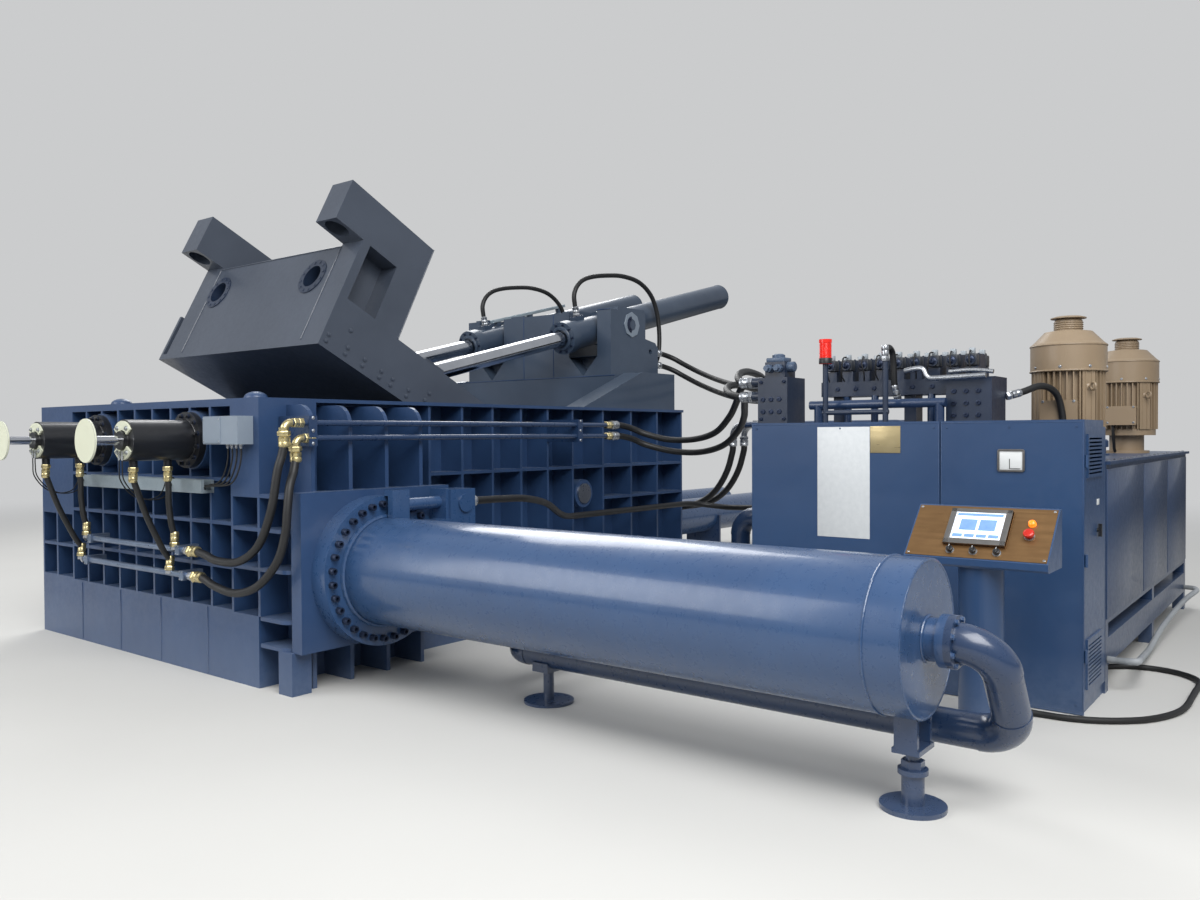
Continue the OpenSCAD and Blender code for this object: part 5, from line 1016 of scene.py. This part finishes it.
def makeTankTrim():
    # panels with folded edges, lid screws, inspection covers with theirs, filler cap
    side, u, top = powerUnit["right"], unitTrim, unitTrim["lid"]
    panels = [softBox((a, side - 0.006, 0.450), (b, side + 0.002, 1.372), 0.003) for a, b in u["tankPanels"]]
    screws = inRows(hexScrew, np.arange(3.20, 6.60, 0.225), (-4.235, -2.165), top, up, 0.010)
    cover = [(0, 0), (0.230, 0), (0.230, 0.014), (0.222, 0.018), (0, 0.018)]
    filler = [(0, 0), (0.070, 0), (0.070, 0.012), (0.045, 0.014), (0.045, 0.060), (0.062, 0.064),
              (0.062, 0.110), (0.050, 0.122), (0, 0.124)]
    covers = [turned((*at, top), up, cover, 48) for at in u["covers"]]
    covers += [turned((*u["filler"], top), up, filler, 36)]
    screws += [s for at in u["covers"] for s in inRing(hexScrew, (*at, top + 0.018), up, 0.200, 12, 0.010)]
    makePieces([("tankPanels", panels, "tankNavyEnamel"), ("tankCovers", covers, "tankNavyEnamel"),
                ("tankScrews", screws, "brightZinc")])
    print("power unit trim")


makeCabinetTrim()
makeTankTrim()

# Places on the console's panel as (u to its right, v up its slope), lift is out of it
panel = {"knobs": (("left", 0.240), ("middle", 0.360), ("right", 0.480)), "knobRow": 0.050,
         "stop": (0.618, 0.173), "lamp": (0.618, 0.255), "u": (0.195, 0.515), "v": (0.085, 0.330),
         "lift": (0.003, 0.027), "inner": (0.226, 0.484, 0.118, 0.302)}


def onPanel(points):
    # along the console's panel to its right, up its 45 degree slope, out of it
    u, v, w = np.asarray(points, float).T
    x0, y0, z0 = console["low"]
    k = np.sqrt(0.5)
    return np.stack([x0 + k * (v - w), y0 - u, z0 + k * (v + w)], -1)


def panelBoxes(*boxes, edge=0.0004):
    # boxes with low and high corners in the panel's own directions
    return moved([softBox(low, high, edge) for low, high in boxes], onPanel)


def panelTurned(u, v, profile, sides=36):
    # a profile turned about the line that stands on the panel at (u, v)
    return turned(onPanel([(u, v, 0)])[0], (-1, 0, 1), profile, sides)


def makeConsoleTrim():
    # raised bezel with rounded edges, lit screen with blank tiles, lamp lens, screws, knobs, button's cap
    p, screen = panel, "operator_screen"
    (u0, u1), (v0, v1), (low, high), (a, b, c, d) = p["u"], p["v"], p["lift"], p["inner"]
    bezel = panelBoxes(((u0, v0, low), (u1, c, high)), ((u0, d, low), (u1, v1, high)),
                       ((u0, v0, low), (a, v1, high)), ((b, v0, low), (u1, v1, high)), edge=0.004)
    glass = panelBoxes(((0.227, 0.119, 0.0255), (0.483, 0.301, 0.0275)), edge=0.0005)
    corners = [(0.236 + 0.062 * k, 0.128, 0.288 + 0.062 * k, 0.150) for k in range(4)]
    corners += [(0.236, 0.276, 0.474, 0.294)]
    corners += [(0.262 + 0.100 * k, 0.176, 0.348 + 0.100 * k, 0.252) for k in range(2)]
    tiles = panelBoxes(*(((q, r, high), (s, t, 0.0284)) for q, r, s, t in corners))
    dome = [(0, 0.003), (0.020, 0.003), (0.020, 0.009), (0.0175, 0.012), (0.0175, 0.022), (0.012, 0.027),
            (0, 0.029)]
    collar = np.array([(0.006, 0.003), (0.011, 0.004), (0.010, 0.008), (0.0015, 0.009), (0.0015, 0.004)])
    head = [(0, 0.003), (0.007, 0.003), (0.007, 0.006), (0.005, 0.0075), (0, 0.0075)]
    holes = [(u, p["knobRow"], 0.0115) for side, u in p["knobs"]] + [(*p["stop"], 0.0165)]
    collars = [panelTurned(u, v, collar + (r, 0)) for u, v, r in holes]
    collars += [panelTurned(u, v, head, 20) for u in (0.022, 0.713) for v in (0.022, 0.348)]
    makePieces([("screenBezel", bezel, "bezelGreyPlastic"), ("screenGlass", glass, "screenLitGlass"),
                ("screenTiles", tiles, "screenBlueTile"),
                ("lampLens", [panelTurned(*p["lamp"], dome)], "orangeLensPlastic"),
                ("panelCollars", collars, "brightZinc")])
    skirt = [(0, 0.0125), (0.0175, 0.0125), (0.0185, 0.016), (0.0175, 0.026), (0.014, 0.0275), (0, 0.0275)]
    for side, u in p["knobs"]:
        grip = panelBoxes(((u - 0.0055, 0.033, 0.024), (u + 0.0055, 0.067, 0.0365)), edge=0.003)
        mark = panelBoxes(((u - 0.001, 0.052, 0.0355), (u + 0.001, 0.066, 0.0372)))
        makePieces([("knobGrip", grip + [panelTurned(u, p["knobRow"], skirt)], "knobBlackPlastic"),
                    ("knobMark", mark, "meterWhiteEnamel")],
                   "knob_" + side, side.capitalize())
    cap = [(0, 0.0215), (0.022, 0.0215), (0.0265, 0.024), (0.0275, 0.030), (0.0265, 0.036), (0.020, 0.040),
           (0.010, 0.0405), (0, 0.0407)]
    button = [panelTurned(*p["stop"], cap, 40)]
    makePiece("buttonCap", button, "redButtonPlastic", "button")
    x, y = console["at"]
    foot = inRing(hexScrew, (x, y, 0.016), up, 0.180, 8, 0.012)
    beads = [ringBead((x, y, 0.018), up, 0.117, 0.005, 90), ringBead((x, y, 0.888), up, 0.117, 0.004, 90)]
    makePieces([("consoleFootScrews", foot, "brightZinc"), ("consoleWelds", beads, "cabinetSatinEnamel")])
    print("console")


makeConsoleTrim()

beacon = {"at": (2.510, -2.670), "ribs": (2.106, 2.198, 0.0085), "radius": 0.0385}


def makeBeaconTrim():
    # fine ribs round the lens and the black base under it
    at = beacon["at"]
    ribs = [ringBead((*at, z), up, beacon["radius"], 0.0025, 48, 0) for z in np.arange(*beacon["ribs"])]
    base = turned((*at, 2.060), up, [(0, 0), (0.043, 0), (0.043, 0.036), (0.040, 0.041), (0, 0.041)], 40)
    makePieces([("beaconRibs", ribs, "redLensPlastic"), ("beaconBase", [base], "knobBlackPlastic")])


makeBeaconTrim()

# Studio: pale floor that runs out into an even pale backdrop, soft light
studio = {"floor": "#c9c8c4", "backdrop": "#cbcccd", "near": 6.0, "far": 21.0, "reach": 300.0, "world": 0.5}
# Each lamp as its name, power, place, aim and size
lamps = [("key", 1250.0, (-5.5, -9.0, 8.5), (0.0, -1.0, 0.8), 7.0),
         ("fill", 560.0, (-10.0, 3.0, 6.0), (0.0, 0.0, 1.0), 7.0),
         ("back", 900.0, (6.0, 6.0, 9.0), (0.5, -1.0, 1.0), 8.0)]


def paleFloor():
    # painted floor whose own colour gives way with distance to the backdrop's, which only the camera sees
    made, tree, shader, where = newMaterial("paleFloor")
    cloud = add(tree, "TexNoise", {"Vector": where, "Scale": 0.8, "Detail": 6.0})
    light = toLinear(studio["floor"])
    dark = tuple(c * 0.94 for c in light[:3]) + (1.0,)
    tone = add(tree, "Mix", {0: cloud.outputs["Fac"], 6: dark, 7: light}, data_type="RGBA").outputs[2]
    distance = add(tree, "VectorMath", {0: where}, operation="LENGTH").outputs["Value"]
    away = add(tree, "MapRange", {0: distance, 1: studio["near"], 2: studio["far"], 3: 0.0, 4: 1.0},
               interpolation_type="SMOOTHSTEP").outputs[0]
    fading = add(tree, "Mix", {0: away, 6: tone, 7: (0.0, 0.0, 0.0, 1.0)}, data_type="RGBA").outputs[2]
    shine = add(tree, "MapRange", {0: away, 1: 0.0, 2: 1.0, 3: 0.5, 4: 0.0}).outputs[0]
    seen = add(tree, "LightPath").outputs["Is Camera Ray"]
    glow = add(tree, "Math", {0: away, 1: seen}, operation="MULTIPLY").outputs[0]
    setUp(tree, shader, {"Base Color": fading, "Roughness": 0.9, "Specular IOR Level": shine,
                         "Emission Color": toLinear(studio["backdrop"]), "Emission Strength": glow})
    return made


def makeStudio():
    # floor as rings about the middle, P(u, v) = r(u) (cos v, sin v), r growing by one factor from ring to
    # ring; sky light for all rays but the camera's, which see the backdrop; three lamps turned to their aims
    rings = np.concatenate([[0.0], np.geomspace(2.0, studio["reach"], 14)])
    v = np.linspace(0, 2 * np.pi, 96, endpoint=False)
    points = rings[:, None, None] * np.stack([np.cos(v), np.sin(v), 0 * v], -1)
    finish["paleFloor"] = paleFloor()
    floor = makePiece("floor", [(points.reshape(-1, 3) - cornerShift, gridFaces(len(rings), 96, wrapN=True))],
                      "paleFloor", body=None)
    scene = bpy.context.scene
    scene.world = bpy.data.worlds.new("studio")
    scene.world.use_nodes = True
    tree = scene.world.node_tree
    sky = tree.nodes["Background"]
    sky.inputs["Color"].default_value = (0.92, 0.95, 1.0, 1.0)
    sky.inputs["Strength"].default_value = studio["world"]
    backdrop = add(tree, "Background", {"Color": toLinear(studio["backdrop"]), "Strength": 1.0})
    seen = add(tree, "LightPath").outputs["Is Camera Ray"]
    chosen = add(tree, "MixShader", {0: seen, 1: sky.outputs[0], 2: backdrop.outputs[0]})
    tree.links.new(chosen.outputs[0], tree.nodes["World Output"].inputs["Surface"])
    for name, power, at, aim, size in lamps:
        lamp = bpy.data.objects.new(name, bpy.data.lights.new(name, "AREA"))
        lamp.data.size = size
        lamp.data.energy = power
        lamp.location = at
        lamp.rotation_euler = (Vector(aim) - Vector(at)).to_track_quat("-Z", "Y").to_euler()
        scene.collection.objects.link(lamp)
    scene.view_settings.view_transform = "Standard"
    print("studio")


makeStudio()
